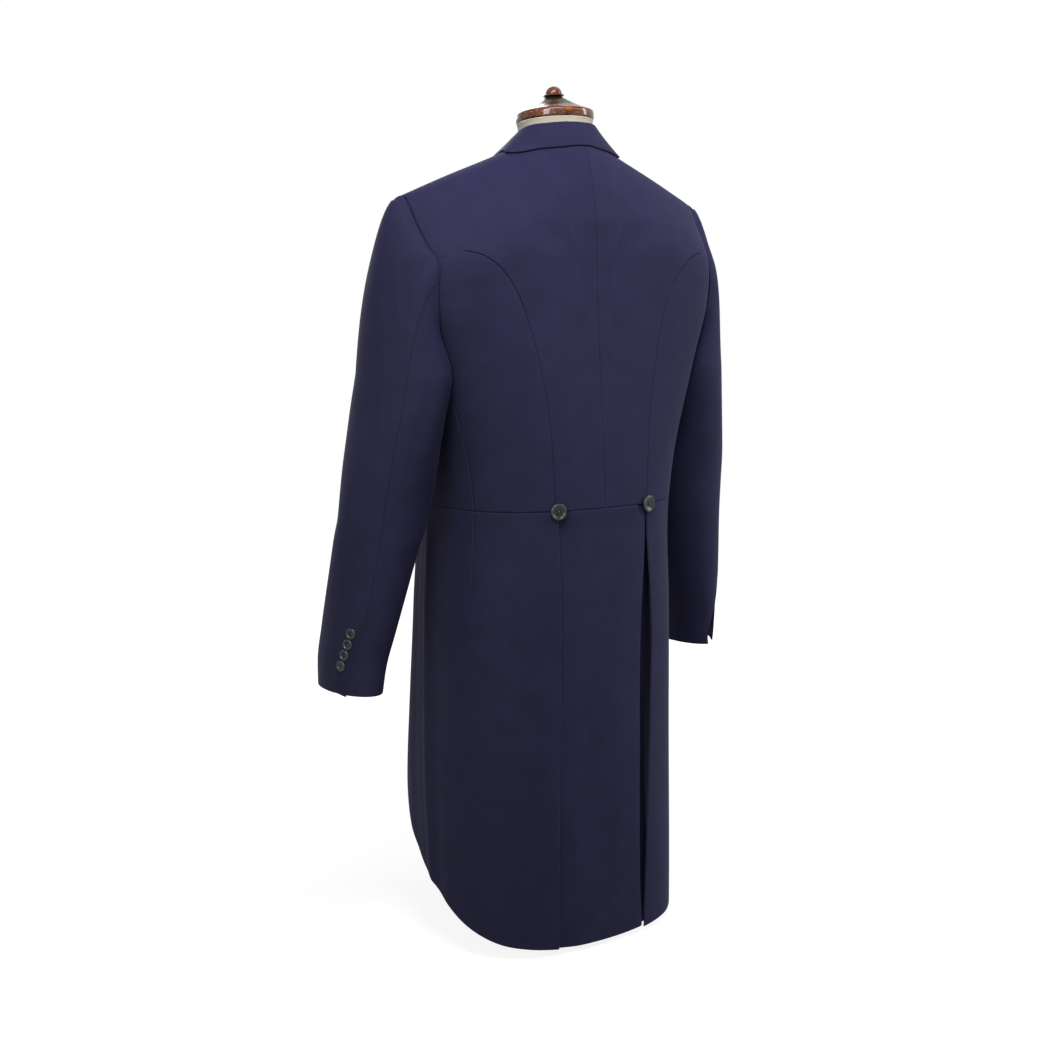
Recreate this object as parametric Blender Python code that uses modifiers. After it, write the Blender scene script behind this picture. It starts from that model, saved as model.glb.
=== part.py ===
"""A one-button morning coat on a dress form: cloth panels as thin walls, collar, buttons and stand.

+Z is up, the wearer's front faces -Y and the wearer's left is +X. The origin is the centre of the stand's
base, on the floor. Sizes are in millimetres until a mesh is made, where MM turns them into metres.
"""

import math

import bpy
import numpy as np

MM = 0.001
CLOTH = 1.8
SEAM_GAP = 0.44
WAIST = 571.0
RIDGE = 1045.0
ROUND = 890.0
FALL_START = 790.0
SHOULDER_FALL = 0.4
SHOULDER_LEAN = 23.0
NECK_DIP = 5.8
NECK_DIP_WIDTH = 45.0
BACK_CLOSE_POWER = 2.3
FRONT_CLOSE_POWER = 1.9
SHOULDER_TIP_X = 218.0
NECK_POINT_X = 60.0
TOP_LEVEL = ROUND + (RIDGE - ROUND) * math.pi / 2

# The torso of the coat, one row for each height: half width, the back, widest and front places along Y,
# and how square the back and front corners are.
TORSO_RINGS = [
    # height, half_width, back_y, widest_y, front_y, back_square, front_square
    (0, 171, 113, -22, -178, 2.6, 3.0),
    (200, 169, 113, -23, -174, 2.6, 3.0),
    (306, 166, 112.5, -22, -167, 2.6, 3.0),
    (430, 163, 112, -20, -158, 2.6, 3.0),
    (571, 161, 111, -19, -151, 2.6, 3.0),
    (648, 171, 107, -21, -153, 2.9, 2.8),
    (705, 183, 102, -22, -157, 3.4, 2.7),
    (760, 198, 98, -21, -160, 3.7, 2.6),
    (815, 214, 94, -17, -160, 4.0, 2.6),
    (905, 219, 90, -3, -145, 4.0, 2.6),
    (1045, 223, 88, 14, -108, 3.6, 2.5),
]

# The curved back seam, from the waist button up to the armhole.
CURVED_SEAM = [
    # step, x, height
    (0, 70, 571),
    (1, 74, 648),
    (2, 81, 710),
    (3, 99, 790),
    (4, 119, 842),
    (5, 148, 874),
    (6, 180, 886),
    (7, 207.5, 878),
]

# The underarm seam, from the waist to the foot of the armhole.
SIDE_SEAM = [
    # height, turn
    (571, 62),
    (640, 61.5),
    (705, 63),
    (757, 74),
]

# The armhole above the curved seam, then its back edge below it, then its front edge.
ARMHOLE_TOP_BACK = [
    # step, turn, ring_height
    (0, 55.3, 909),
    (1, 58.5, 965),
    (2, 61.8, 1020),
    (3, 63.6, 1045),
]
ARMHOLE_LOW_BACK = [
    # step, turn, ring_height
    (0, 74, 757),
    (1, 66, 764),
    (2, 59.5, 785),
    (3, 55.8, 818),
    (4, 54.8, 862),
    (5, 55.3, 909),
]
ARMHOLE_FRONT = [
    # step, turn, ring_height
    (0, 74, 757),
    (1, 84, 758),
    (2, 94, 764),
    (3, 103, 780),
    (4, 110, 806),
    (5, 114.5, 842),
    (6, 116.5, 884),
    (7, 116, 935),
    (8, 112.5, 995),
    (9, 107.8, 1045),
]

# The neckline of the back, under the collar, and the roll line of the front, where the lapel turns back.
NECKLINE = [
    # step, x, height
    (0, 0, 1023),
    (1, 22, 1017.5),
    (2, 41, 1016.5),
    (3, 52, 1017.5),
]
ROLL_LINE = [
    # height, x
    (571, -12),
    (600, -3),
    (640, 9),
    (690, 20),
    (780, 36),
    (880, 52),
    (960, 60),
    (1005, 60),
]

# The lapel's free edge and its upper edge, from the gorge to the peak.
LAPEL_EDGE = [
    # step, x, height
    (0, 9, 624),
    (1, 37, 672),
    (2, 72, 745),
    (3, 104, 820),
    (4, 131, 876),
    (5, 152, 921),
]
LAPEL_TOP = [
    # step, x, height
    (0, 62, 969),
    (1, 84, 947),
    (2, 110, 921),
    (3, 152, 921),
]

# The collar, one row for each place round the neck: the middle of its fold, the foot of its stand on the
# coat and the edge of its fall on the coat.
COLLAR_ROWS = [
    # step, fold_x, fold_y, fold_z, foot_x, foot_y, edge_x, edge_y
    (0, 0, 49.8, 1042.2, 0, 55.5, 0, 65),
    (1, 20, 46, 1041.6, 22, 52, 28, 56.5),
    (2, 36, 34.6, 1040.2, 41, 40.5, 52, 45),
    (3, 46, 18, 1038.8, 53, 23, 76, 33),
    (4, 49, 1, 1035.5, 59, 3, 86, 18),
    (5, 49, -15, 1029, 59.5, -15, 75, -7),
    (6, 49.5, -30, 1021, 58, -30, 68, -26),
    (7, 52, -46, 1010, 57, -45, 73, -49),
    (8, 56, -66, 996, 58.5, -65, 86, -74),
    (9, 60.5, -85, 979, 62.5, -84, 95, -97),
]
COLLAR_CLOTH = 1.7
COLLAR_FOOT_GAP = 0.6
FOLD_RADIUS = 2.3
LEAST_UPRIGHT = 0.35

# How far the left forepart laps over the right one, and how far the lapels lie off the foreparts.
LAP = 2.7
LAPEL_GAP = 1.45
LAPEL_CLOTH = 1.6

# The bottom edge of the side skirts: hem at the back, cut away in one curve up to the waist in front.
HEM = [
    # turn, left_height, right_height
    (20, 9, 8.5),
    (34, 14, 11),
    (45, 20.5, 13),
    (56, 32, 22),
    (73, 54, 48),
    (92, 82, 81),
    (106, 111, 111),
    (116, 143, 143),
    (123, 186, 186),
    (131, 246, 246),
    (140, 322, 322),
    (150, 402, 402),
    (161, 476, 476),
    (170, 525, 525),
    (178.5, 556, 556),
]

# The sleeve's sections, each a flattened oval: its middle, half sizes and twist.
SLEEVE_SECTIONS = [
    # height, middle_x, middle_y, half_across, half_deep, twist
    (346, 270.6, -57.5, 29.8, 57.8, 2),
    (380, 268.3, -56, 32.9, 57.6, 4),
    (420, 261.5, -50.4, 37.2, 57.9, 5),
    (460, 254.5, -45, 41.4, 58.1, 6),
    (500, 247.5, -40, 45.5, 58.3, 6),
    (540, 240.5, -34.8, 49.5, 58.5, 7),
    (580, 233.7, -29.3, 53, 58.7, 7),
    (620, 229, -24.2, 52.6, 63, 7),
    (660, 224.4, -20.4, 50, 68, 6),
    (700, 219.4, -17, 48, 72.5, 6),
    (740, 211.5, -13.3, 51, 74, 6),
    (780, 205, -12.7, 50.3, 77.7, 3),
]
BICEPS = 738.0
ELBOW = 500.0
CUFF = 346.0

# Where the lines along the sleeve cross its sections, for each numbered place round the armhole.
SLEEVE_LINES = [
    # place, biceps_angle, elbow_angle, cuff_angle
    (0, 4, 2, -6),
    (5, 47, 53, 33),
    (10, 172, 176, 168),
    (13, 236, 236, 232),
    (20, 364, 362, 354),
]
CROWN_ROWS = 6
TUBE_ROWS = 12
BODY_GAP = 2.0
CROWN_SPREAD = np.array([98.0, 0, -24])
CROWN_SHARPNESS = 1.4
LOW_SPREAD = np.array([12.0, 0, -6])
ARRIVING = np.array([0.1, 0.02, -1.1])
SLEEVE_SOFTNESS = 3.0
ARMHOLE_GAP = 0.8
ARMHOLE_LIFT = 0.6
VENT_DROP = 3.0
VENT_TOP = 447.0
VENT_LIFT = 2.1
VENT_TURN = 21.0
VENT_HEIGHT = 100.0
VENT_OPENINGS = [
    # side, places the under sleeve's edge stands back at the cuff
    (1, 0),
    (-1, 2.5),
]
ROWS_ABOVE_SEAM = 4
HIND_SEAM = 5
UNDERARM = 10
FOREARM_SEAM = 13
ARMHOLE_PLACES = 20

# The pleated middle back skirt, seen from above: across the back, how deep it lies, and how much deeper and
# further out it lies where the right pleat is open or closed.
BACK_SKIRT_FOLDS = [
    # x, depth, opening_depth, closing_x
    (96, 4.6, 0, 0),
    (82, 3.6, 0, 0),
    (71, 2.7, 0, 0),
    (58, 2.3, 0, 0),
    (38, 2.3, 0, 0),
    (12, 2.3, 0, 0),
    (-14, 2.3, 0, 0),
    (-38, 2.3, 0, -1),
    (-56, 2.3, 0, -4),
    (-63.5, 2.5, 0.8, -7.5),
    (-66.5, 4.4, 3.5, -7.5),
    (-69, 7, 7, -7.5),
    (-76, 8.5, 9, -5),
    (-88, 8.5, 9, -2),
    (-99, 8.5, 9, 0),
]
SKIRT_BACK_FOOT = 8.0

# Where the back edge of each side skirt lies across the back, and how far the right pleat stands open.
SKIRT_EDGES = [
    # height, left_x, right_x
    (0, 64.5, 72.5),
    (150, 64.5, 76),
    (300, 63.5, 82),
    (400, 63.5, 83.5),
    (470, 63.5, 78),
    (525, 65, 72),
    (571, 66.5, 69.5),
]
PLEAT_OPENING = [
    # height, share
    (0, 0.05),
    (80, 0.65),
    (150, 0.95),
    (300, 1),
    (430, 0.85),
    (525, 0.25),
    (571, 0.05),
]

BACK_BUTTONS = [
    # side, x
    (1, 67.5),
    (-1, 71.5),
]
BACK_BUTTON_RADIUS = 10.4
CUFF_BUTTON_RADIUS = 6.8
FRONT_BUTTON_RADIUS = 10.4

BUTTON_PROFILE = [
    # share of the radius, height
    (0, 2.1),
    (0.62, 2.1),
    (0.76, 3.2),
    (0.93, 3.1),
    (1, 2.1),
    (0.94, 0.7),
    (0.7, 0),
    (0, 0),
]
CUFF_BUTTONS = [
    # number, height, left_place, right_place
    (1, 424, 3.8, 3.02),
    (2, 410, 3.75, 2.97),
    (3, 396.1, 3.71, 2.93),
    (4, 382.2, 3.66, 2.88),
]
FRONT_BUTTON = (1.0, 584.0)
BUTTON_GAP = 0.7

# The dress form: how far it lies inside the coat, and its neck.
FORM_INSETS = [
    # level, inset
    (432, 27),
    (540, 25),
    (600, 12),
    (700, 9),
    (880, 7.5),
    (1135, 7.9),
]
NECK_RINGS = [
    # height, radius, share of the cap's tilt
    (975, 50, 0),
    (1012, 46.4, 0),
    (1038, 46.4, 0.6),
    (1047.2, 48.2, 1),
]
FORM_FOOT = 432.0
FORM_TOP_GAP = 8.0
NECK_RADIUS = 46.6
CAP_RADIUS = 49.2
CAP_FOOT = 1047.0
CAP_TILT = math.radians(5.3)
POLE_RADIUS = 14.0
BASE_RADIUS = 84.0
BASE_BEVEL = 3.0
BASE_THICKNESS = 12.0
REST_GAP = 0.3


# The turned cap, cone and knob on its neck, and the pole and base, each down its outer side.
CAP_PROFILE = [
    # radius, height
    (0, 17.5),
    (33, 17.5),
    (36, 16),
    (47, 11.6),
    (49, 10.2),
    (49, 1),
    (48, 0),
    (0, 0),
]
CONE_PROFILE = [
    # radius, height
    (0, 30.2),
    (10.8, 30.2),
    (12.6, 28.8),
    (22, 23.2),
    (32, 17.8),
    (0, 17.8),
]
KNOB_PROFILE = [
    # radius, height
    (0, 44),
    (4.3, 43.2),
    (8.2, 40.4),
    (10.4, 36.6),
    (10.6, 33.8),
    (13.2, 32.8),
    (13.2, 31.7),
    (11, 30.5),
    (0, 30.5),
]
POLE_PROFILE = [
    # radius, height
    (0, FORM_FOOT - REST_GAP),
    (POLE_RADIUS, FORM_FOOT - REST_GAP),
    (POLE_RADIUS, BASE_THICKNESS + REST_GAP),
    (0, BASE_THICKNESS + REST_GAP),
]
BASE_PROFILE = [
    # radius, height
    (0, BASE_THICKNESS),
    (BASE_RADIUS - BASE_BEVEL, BASE_THICKNESS),
    (BASE_RADIUS, BASE_THICKNESS - BASE_BEVEL),
    (BASE_RADIUS, 0),
    (0, 0),
]

NAVY = (0.028, 0.026, 0.062)
HORN = (0.012, 0.014, 0.016)
LINEN = (0.62, 0.58, 0.48)
WALNUT = (0.23, 0.075, 0.025)
DARK_LACQUER = (0.03, 0.018, 0.012)
STEEL = (0.55, 0.55, 0.56)


# Reading tables and places on the torso

def smooth_rows(rows, at):
    """Reads every column of a table along its first column, on one smooth curve."""
    rows = np.array(rows, float)
    along, values = rows[:, 0], rows[:, 1:]
    step = np.diff(along)[:, None]
    rise = np.diff(values, axis=0) / step
    middle = (rise[1:] * step[:-1] + rise[:-1] * step[1:]) / (step[1:] + step[:-1])
    slope = np.vstack([rise[:1], middle, rise[-1:]])
    at = np.asarray(at, float)
    row = np.clip(np.searchsorted(along, at) - 1, 0, len(along) - 2)
    width = step[row]
    part = (at[..., None] - along[row][..., None]) / width
    start = values[row] * (1 + 2 * part) + slope[row] * width * part
    end = values[row + 1] * (3 - 2 * part) - slope[row + 1] * width * (1 - part)
    return start * (1 - part) ** 2 + end * part**2


def ease(part):
    part = np.clip(part, 0, 1)
    return part * part * (3 - 2 * part)


def unit(vectors):
    return vectors / np.maximum(np.linalg.norm(vectors, axis=-1, keepdims=True), 1e-9)


def ring_sizes(height):
    return np.moveaxis(smooth_rows(TORSO_RINGS, height), -1, 0)


def shoulder_fall(x, height):
    """How far a ring at that height has dropped there, to follow the shoulder's slope."""
    x = np.abs(x)
    slope = SHOULDER_FALL * x + NECK_DIP * (1 - np.exp(-((x / NECK_DIP_WIDTH) ** 2)))
    return slope * ease((height - FALL_START) / (RIDGE - FALL_START))


def shoulder_lean(x, height):
    """How far forward the shoulder's top sits, growing towards its tip."""
    part = np.minimum(np.abs(x) / SHOULDER_TIP_X, 1)
    return SHOULDER_LEAN * part**1.3 * ease((height - ROUND) / (RIDGE - ROUND))


def level_of(height):
    """A level runs as the height does, and bends over the shoulder so that rows stay evenly apart."""
    part = np.clip((np.asarray(height, float) - ROUND) / (RIDGE - ROUND), 0, 1)
    return np.where(part > 0, ROUND + (RIDGE - ROUND) * np.arcsin(part), height)


def torso_point(turn, level):
    """The coat's outer face: turn in degrees from the centre back towards the wearer's left."""
    turn, level = np.broadcast_arrays(np.radians(turn), np.asarray(level, float))
    bend = np.clip((level - ROUND) / (RIDGE - ROUND), 0, math.pi / 2)
    height = np.where(bend > 0, ROUND + (RIDGE - ROUND) * np.sin(bend), level)
    half_width, back_y, widest_y, front_y, back_square, front_square = ring_sizes(height)
    behind = np.cos(turn) > 0
    square = np.where(behind, back_square, front_square)
    reach = (np.abs(np.sin(turn)) ** square + np.abs(np.cos(turn)) ** square) ** (-1 / square)
    power = np.where(behind, BACK_CLOSE_POWER, FRONT_CLOSE_POWER)
    closing = (1 - np.sin(bend) ** power).clip(0) ** (1 / power)
    depth = np.where(behind, back_y - widest_y, widest_y - front_y) * closing
    x = half_width * np.sin(turn) * reach
    y = widest_y + depth * np.cos(turn) * reach - shoulder_lean(x, height)
    return np.stack([x, y, height - shoulder_fall(x, height)], -1)


def torso_normal(turn, level):
    level = np.asarray(level, float)
    turn_step, level_step = 0.1, 0.2
    up = np.minimum(level + level_step, TOP_LEVEL)
    climb = torso_point(turn, up) - torso_point(turn, up - 2 * level_step)
    around = torso_point(turn + turn_step, level) - torso_point(turn - turn_step, level)
    return unit(np.cross(climb, around))


def place_at(x, height, front=False):
    """The turn and level of the place on the back, or the front, at that x and true height."""
    x, height = np.broadcast_arrays(np.asarray(x, float), np.asarray(height, float))
    ring_height = height
    for _ in range(8):
        ring_height = np.minimum(height + shoulder_fall(x, ring_height), RIDGE)
    sizes = ring_sizes(ring_height)
    square = sizes[5] if front else sizes[4]
    wide = np.clip(x / sizes[0], -1, 1)
    deep = (1 - np.abs(wide) ** square) ** (1 / square)
    turn = np.degrees(np.arctan2(wide, -deep if front else deep)) % 360
    return np.stack([turn, level_of(ring_height)], -1)


def ridge_places(xs, front):
    """Places along the shoulder seam, which lies on the ridge."""
    return place_at(xs, np.full(len(xs), 2 * RIDGE), front)


def above_shoulder(x, y):
    """The turn and level of the place on top of the shoulders at that x and y."""
    ring_height = np.full(np.shape(x), RIDGE)
    for _ in range(30):
        half_width, back_y, widest_y, front_y, back_square, front_square = ring_sizes(ring_height)
        from_middle = y + shoulder_lean(x, ring_height) - widest_y
        behind = from_middle > 0
        square = np.where(behind, back_square, front_square)
        deep = (1 - np.abs(x / half_width) ** square) ** (1 / square)
        depth = np.where(behind, back_y - widest_y, widest_y - front_y) * deep
        closing = np.clip(np.abs(from_middle) / depth, 0, 1)
        power = np.where(behind, BACK_CLOSE_POWER, FRONT_CLOSE_POWER)
        bend = (1 - closing**power) ** (1 / power)
        ring_height = 0.5 * ring_height + 0.5 * (ROUND + (RIDGE - ROUND) * bend)
    turn = np.degrees(np.arctan2(x / half_width, np.where(behind, deep, -deep)))
    return np.stack([turn, level_of(ring_height)], -1)


# Runs of places along seams, and sheets of places between them

def even_run(places, count):
    """Spreads count + 1 places evenly along a run of places."""
    points = torso_point(places[:, 0], places[:, 1])
    gone = np.concatenate([[0], np.cumsum(np.linalg.norm(np.diff(points, axis=0), axis=1))])
    wanted = np.linspace(0, gone[-1], count + 1)
    return np.stack([np.interp(wanted, gone, places[:, column]) for column in (0, 1)], -1)


def table_run(rows, count, places_of):
    """A smooth run through a table of steps, with its two values turned into places."""
    values = smooth_rows(rows, np.linspace(rows[0][0], rows[-1][0], 90))
    return even_run(places_of(values[:, 0], values[:, 1]), count)


def ring_places(turn, ring_height):
    return np.stack([turn, level_of(ring_height)], -1)


def joined_runs(*runs):
    return np.concatenate([runs[0]] + [run[1:] for run in runs[1:]])


def filled(left, right, bottom, top):
    """Places spread between four edge runs that share their corners, as rows from bottom to top."""
    across = np.linspace(0, 1, len(bottom))[None, :, None]
    up = np.linspace(0, 1, len(left))[:, None, None]
    sideways = (1 - across) * left[:, None] + across * right[:, None]
    upwards = (1 - up) * bottom[None] + up * top[None]
    low = (1 - across) * bottom[0] + across * bottom[-1]
    high = (1 - across) * top[0] + across * top[-1]
    return sideways + upwards - (1 - up) * low - up * high


# Making objects

def material(name, colour, roughness, metallic=0.0):
    made = bpy.data.materials.new(name)
    made.use_nodes = True
    shader = made.node_tree.nodes["Principled BSDF"]
    shader.inputs["Base Color"].default_value = (*colour, 1)
    shader.inputs["Roughness"].default_value = roughness
    shader.inputs["Metallic"].default_value = metallic
    return made


def add_object(name, mesh, finish):
    mesh.materials.append(finish)
    made = bpy.data.objects.new(name, mesh)
    coat.objects.link(made)
    mesh.shade_smooth()
    mesh.set_sharp_from_angle(angle=math.radians(40))
    return made


def mesh_of(name, points, faces):
    mesh = bpy.data.meshes.new(name)
    mesh.from_pydata((points * MM).tolist(), [], faces)
    mesh.validate()
    return mesh


def parted(points):
    """Draws the four edges of a sheet in by half a seam gap, square to each edge."""
    drawn = points.copy()
    for edge, inside in (
        (np.s_[0], np.s_[1]),
        (np.s_[-1], np.s_[-2]),
        (np.s_[:, 0], np.s_[:, 1]),
        (np.s_[:, -1], np.s_[:, -2]),
    ):
        along = unit(np.gradient(points[edge], axis=0))
        inward = points[inside] - points[edge]
        inward -= along * np.sum(inward * along, -1, keepdims=True)
        drawn[edge] += SEAM_GAP / 2 * unit(inward)
    return drawn


def cloth_wall(name, points, normals, side=1, thickness=CLOTH):
    """A sheet of cloth from rows of points on its outer face, with its wall on the inner side."""
    outer = parted(points)
    inner = outer - thickness * normals
    mirror = np.array([side, 1, 1])
    rows, columns = outer.shape[:2]
    verts = np.concatenate([outer.reshape(-1, 3), inner.reshape(-1, 3)]) * mirror
    under = rows * columns
    number = np.arange(under).reshape(rows, columns)
    cells = [(number[r, c], number[r, c + 1], number[r + 1, c + 1], number[r + 1, c])
             for r in range(rows - 1) for c in range(columns - 1)]
    faces = [tuple(cell) for cell in cells]
    faces += [tuple(corner + under for corner in reversed(cell)) for cell in cells]
    rim = [*number[0, :], *number[1:, -1], *number[-1, -2::-1], *number[-2:0:-1, 0]]
    for here, there in zip(rim, rim[1:] + rim[:1]):
        faces.append((there, here, here + under, there + under))
    diagonal = np.cross(outer[1, 1] - outer[0, 0], outer[1, 0] - outer[0, 1])
    if np.dot(diagonal, normals[0, 0]) * side < 0:
        faces = [face[::-1] for face in faces]
    return add_object(name, mesh_of(name, verts, faces), cloth)


def torso_sheet(name, places, side=1, out=0.0, thickness=CLOTH):
    """A wall of cloth on the torso, moved out by a distance that may differ from place to place."""
    turn, level = places[..., 0], places[..., 1]
    normals = torso_normal(turn, level)
    points = torso_point(turn, level) + normals * np.asarray(out, float)[..., None]
    return cloth_wall(name, points, normals, side, thickness)


def turned(name, profile, steps, finish):
    """A solid turned round its own Z axis, from a profile of (radius, height) down its outer side."""
    mesh = mesh_of(name, np.array([(radius, 0, height) for radius, height in profile], float), [])
    made = bpy.data.objects.new(name, mesh)
    mesh.edges.add(len(profile) - 1)
    for number, edge in enumerate(mesh.edges):
        edge.vertices = (number, number + 1)
    mesh.materials.append(finish)
    coat.objects.link(made)
    screw = made.modifiers.new("Turn", "SCREW")
    screw.steps = steps
    screw.render_steps = steps
    screw.use_merge_vertices = True
    screw.merge_threshold = 0.00001
    screw.use_smooth_shade = True
    return made


def set_upright_on(made, point, normal, side=1):
    """Puts a turned piece at a point of the cloth, with its axis along the outward direction."""
    point = np.asarray(point) * (side, 1, 1)
    normal = np.asarray(normal) * (side, 1, 1)
    made.location = point * MM
    turn_y = math.atan2(math.hypot(normal[0], normal[1]), normal[2])
    made.rotation_euler = (0, turn_y, math.atan2(normal[1], normal[0]))


# The scene, and the seams shared by the torso's panels

for old in list(bpy.data.objects):
    bpy.data.objects.remove(old)
coat = bpy.data.collections.new("morning_coat")
bpy.context.scene.collection.children.link(coat)
cloth = material("navy_worsted", NAVY, 0.8)
horn = material("dark_horn", HORN, 0.35)
linen = material("ecru_linen", LINEN, 0.85)
walnut = material("varnished_walnut", WALNUT, 0.2)
lacquer = material("dark_lacquer", DARK_LACQUER, 0.15)
steel = material("brushed_steel", STEEL, 0.35, 1.0)

seam_top_rows = 11
shoulder_cells = 6
front_cells = 2 * shoulder_cells
neck_cells = 4
hind_places = UNDERARM - ROWS_ABOVE_SEAM
nape = place_at(0.0, NECKLINE[0][2])
centre_back = even_run(
    np.stack([np.zeros(60), np.linspace(WAIST, nape[1], 60)], -1), seam_top_rows + ROWS_ABOVE_SEAM
)
curved_seam = table_run(CURVED_SEAM, seam_top_rows, place_at)
armhole_high = table_run(ARMHOLE_TOP_BACK, ROWS_ABOVE_SEAM, ring_places)
armhole_high[0] = curved_seam[-1]
armhole_high[-1] = ridge_places([SHOULDER_TIP_X], False)[0]
armhole_low = table_run(ARMHOLE_LOW_BACK, hind_places, ring_places)
armhole_low[-1] = curved_seam[-1]
armhole_front = table_run(ARMHOLE_FRONT, ARMHOLE_PLACES - UNDERARM, ring_places)
armhole_front[-1] = ridge_places([SHOULDER_TIP_X], True)[0]
side_heights = np.linspace(WAIST, SIDE_SEAM[-1][0], 60)
side_run = np.stack([smooth_rows(SIDE_SEAM, side_heights)[:, 0], side_heights], -1)
side_seam = even_run(side_run, seam_top_rows)
shoulder_xs = np.linspace(NECK_POINT_X, SHOULDER_TIP_X, front_cells + 1)


def waist_run(start, end, count):
    return even_run(np.stack([np.linspace(start, end, 90), np.full(90, WAIST)], -1), count)


# Back panels and side bodies

neck_values = smooth_rows(NECKLINE, np.linspace(0, NECKLINE[-1][0], 40))
neck_run = np.concatenate([
    place_at(neck_values[:, 0], neck_values[:, 1]), ridge_places([NECK_POINT_X], False)
])
back_places = filled(
    centre_back,
    joined_runs(curved_seam, armhole_high),
    waist_run(0, curved_seam[0, 0], neck_cells + shoulder_cells),
    joined_runs(even_run(neck_run, neck_cells), ridge_places(shoulder_xs[::2], False)),
)
side_back_places = filled(
    curved_seam,
    side_seam,
    waist_run(curved_seam[0, 0], side_seam[0, 0], hind_places),
    armhole_low[::-1],
)

# Foreparts: the left one laps over the right one round the button


def lapped(places, side, out=0.0):
    """How far a forepart's place is moved out, where the left side laps over the right side."""
    turn, height = places[..., 0], np.minimum(places[..., 1], RIDGE)
    lap = ease((turn - 160) / 14) * ease((680 - height) / 70)
    return out + LAP * lap * (side > 0)


roll_heights = np.linspace(WAIST, ROLL_LINE[-1][0], 90)
roll_values = smooth_rows(ROLL_LINE, roll_heights)[:, 0]
roll_run = np.concatenate([
    place_at(roll_values, roll_heights, True), ridge_places([NECK_POINT_X], True)
])
forepart_side = joined_runs(side_seam, armhole_front)
front_places = filled(
    forepart_side,
    even_run(roll_run, len(forepart_side) - 1),
    waist_run(side_seam[0, 0], roll_run[0, 0], front_cells),
    ridge_places(shoulder_xs[::-1], True),
)

# Lapels, turned back on the foreparts

lapel_rows, lapel_cells = 14, 6


def front_places_at(xs, heights):
    return place_at(xs, heights, True)


lapel_edge = table_run(LAPEL_EDGE, lapel_rows, front_places_at)
lapel_top_values = np.array(LAPEL_TOP, float)[:, 1:]
lapel_top = even_run(front_places_at(lapel_top_values[:, 0], lapel_top_values[:, 1]), lapel_cells)
lapel_top[-1] = lapel_edge[-1]
roll_part = np.linspace(LAPEL_EDGE[0][2], LAPEL_TOP[0][2], 60)
lapel_roll = even_run(place_at(smooth_rows(ROLL_LINE, roll_part)[:, 0] + 0.6, roll_part, True), lapel_rows)
lapel_top[0] = lapel_roll[-1]
lapel_foot = even_run(np.stack([lapel_roll[0], lapel_edge[0]]), lapel_cells)
lapel_places = filled(lapel_roll, lapel_edge, lapel_foot, lapel_top)

for side, word in ((1, "left"), (-1, "right")):
    torso_sheet(f"back_{word}", back_places, side)
    torso_sheet(f"side_back_{word}", side_back_places, side)
    torso_sheet(f"front_{word}", front_places, side, lapped(front_places, side))
    lapel_out = lapped(lapel_places, side, LAPEL_GAP + LAPEL_CLOTH)
    torso_sheet(f"lapel_{word}", lapel_places, side, lapel_out, LAPEL_CLOTH)

# Sleeves: a crown sewn into the armhole, then ovals pressed lightly against the body


def body_side(y, z):
    """How far out the side of the torso is at that place, along X."""
    ring_height = z
    for _ in range(6):
        half_width, back_y, widest_y, front_y, back_square, front_square = ring_sizes(ring_height)
        from_middle = y + shoulder_lean(SHOULDER_TIP_X, ring_height) - widest_y
        behind = from_middle > 0
        square = np.where(behind, back_square, front_square)
        bend = np.clip((ring_height - ROUND) / (RIDGE - ROUND), 0, 0.98)
        power = np.where(behind, BACK_CLOSE_POWER, FRONT_CLOSE_POWER)
        closing = (1 - bend**power) ** (1 / power)
        depth = np.where(behind, back_y - widest_y, widest_y - front_y) * closing
        aside = np.clip(np.abs(from_middle) / depth, 0, 1)
        x = half_width * (1 - aside**square) ** (1 / square)
        ring_height = np.minimum(z + shoulder_fall(x, ring_height), RIDGE)
    return x


def pressed(points, gap, softness):
    """Moves points out along X where they would come nearer than the gap to the torso's side."""
    limit = body_side(points[..., 1], points[..., 2]) + gap
    short = (limit - points[..., 0]) / softness
    moved = points.copy()
    moved[..., 0] += softness * np.logaddexp(0, short)
    return moved


def line_angle(place, height):
    """Where a numbered line along the sleeve crosses the section at that height."""
    angles = np.moveaxis(smooth_rows(SLEEVE_LINES, place), -1, 0)
    low = np.clip((ELBOW - height) / (ELBOW - CUFF), 0, 1) ** 2.5
    high = ease((height - ELBOW) / (BICEPS - ELBOW))
    return angles[1] + (angles[2] - angles[1]) * low + (angles[0] - angles[1]) * high


def vent_lift(place, height):
    beside = line_angle(np.full(np.shape(height), HIND_SEAM), height) - line_angle(place, height)
    return VENT_LIFT * ease((VENT_TOP - height) / 30) * ease(1 - beside / VENT_TURN) * (beside > -1)


def sleeve_point(place, height):
    """The sleeve's outer face on a numbered line, at a section's height."""
    place, height = np.broadcast_arrays(np.asarray(place, float), np.asarray(height, float))
    sizes = np.moveaxis(smooth_rows(SLEEVE_SECTIONS, height), -1, 0)
    middle_x, middle_y, across, deep, twist = sizes
    angle, twist = np.radians(line_angle(place, height)), np.radians(twist)
    along_one, along_two = across * np.cos(angle), deep * np.sin(angle)
    x = middle_x + along_one * np.cos(twist) - along_two * np.sin(twist)
    y = middle_y + along_one * np.sin(twist) + along_two * np.cos(twist)
    return pressed(np.stack([x, y, height], -1), BODY_GAP, SLEEVE_SOFTNESS)


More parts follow.
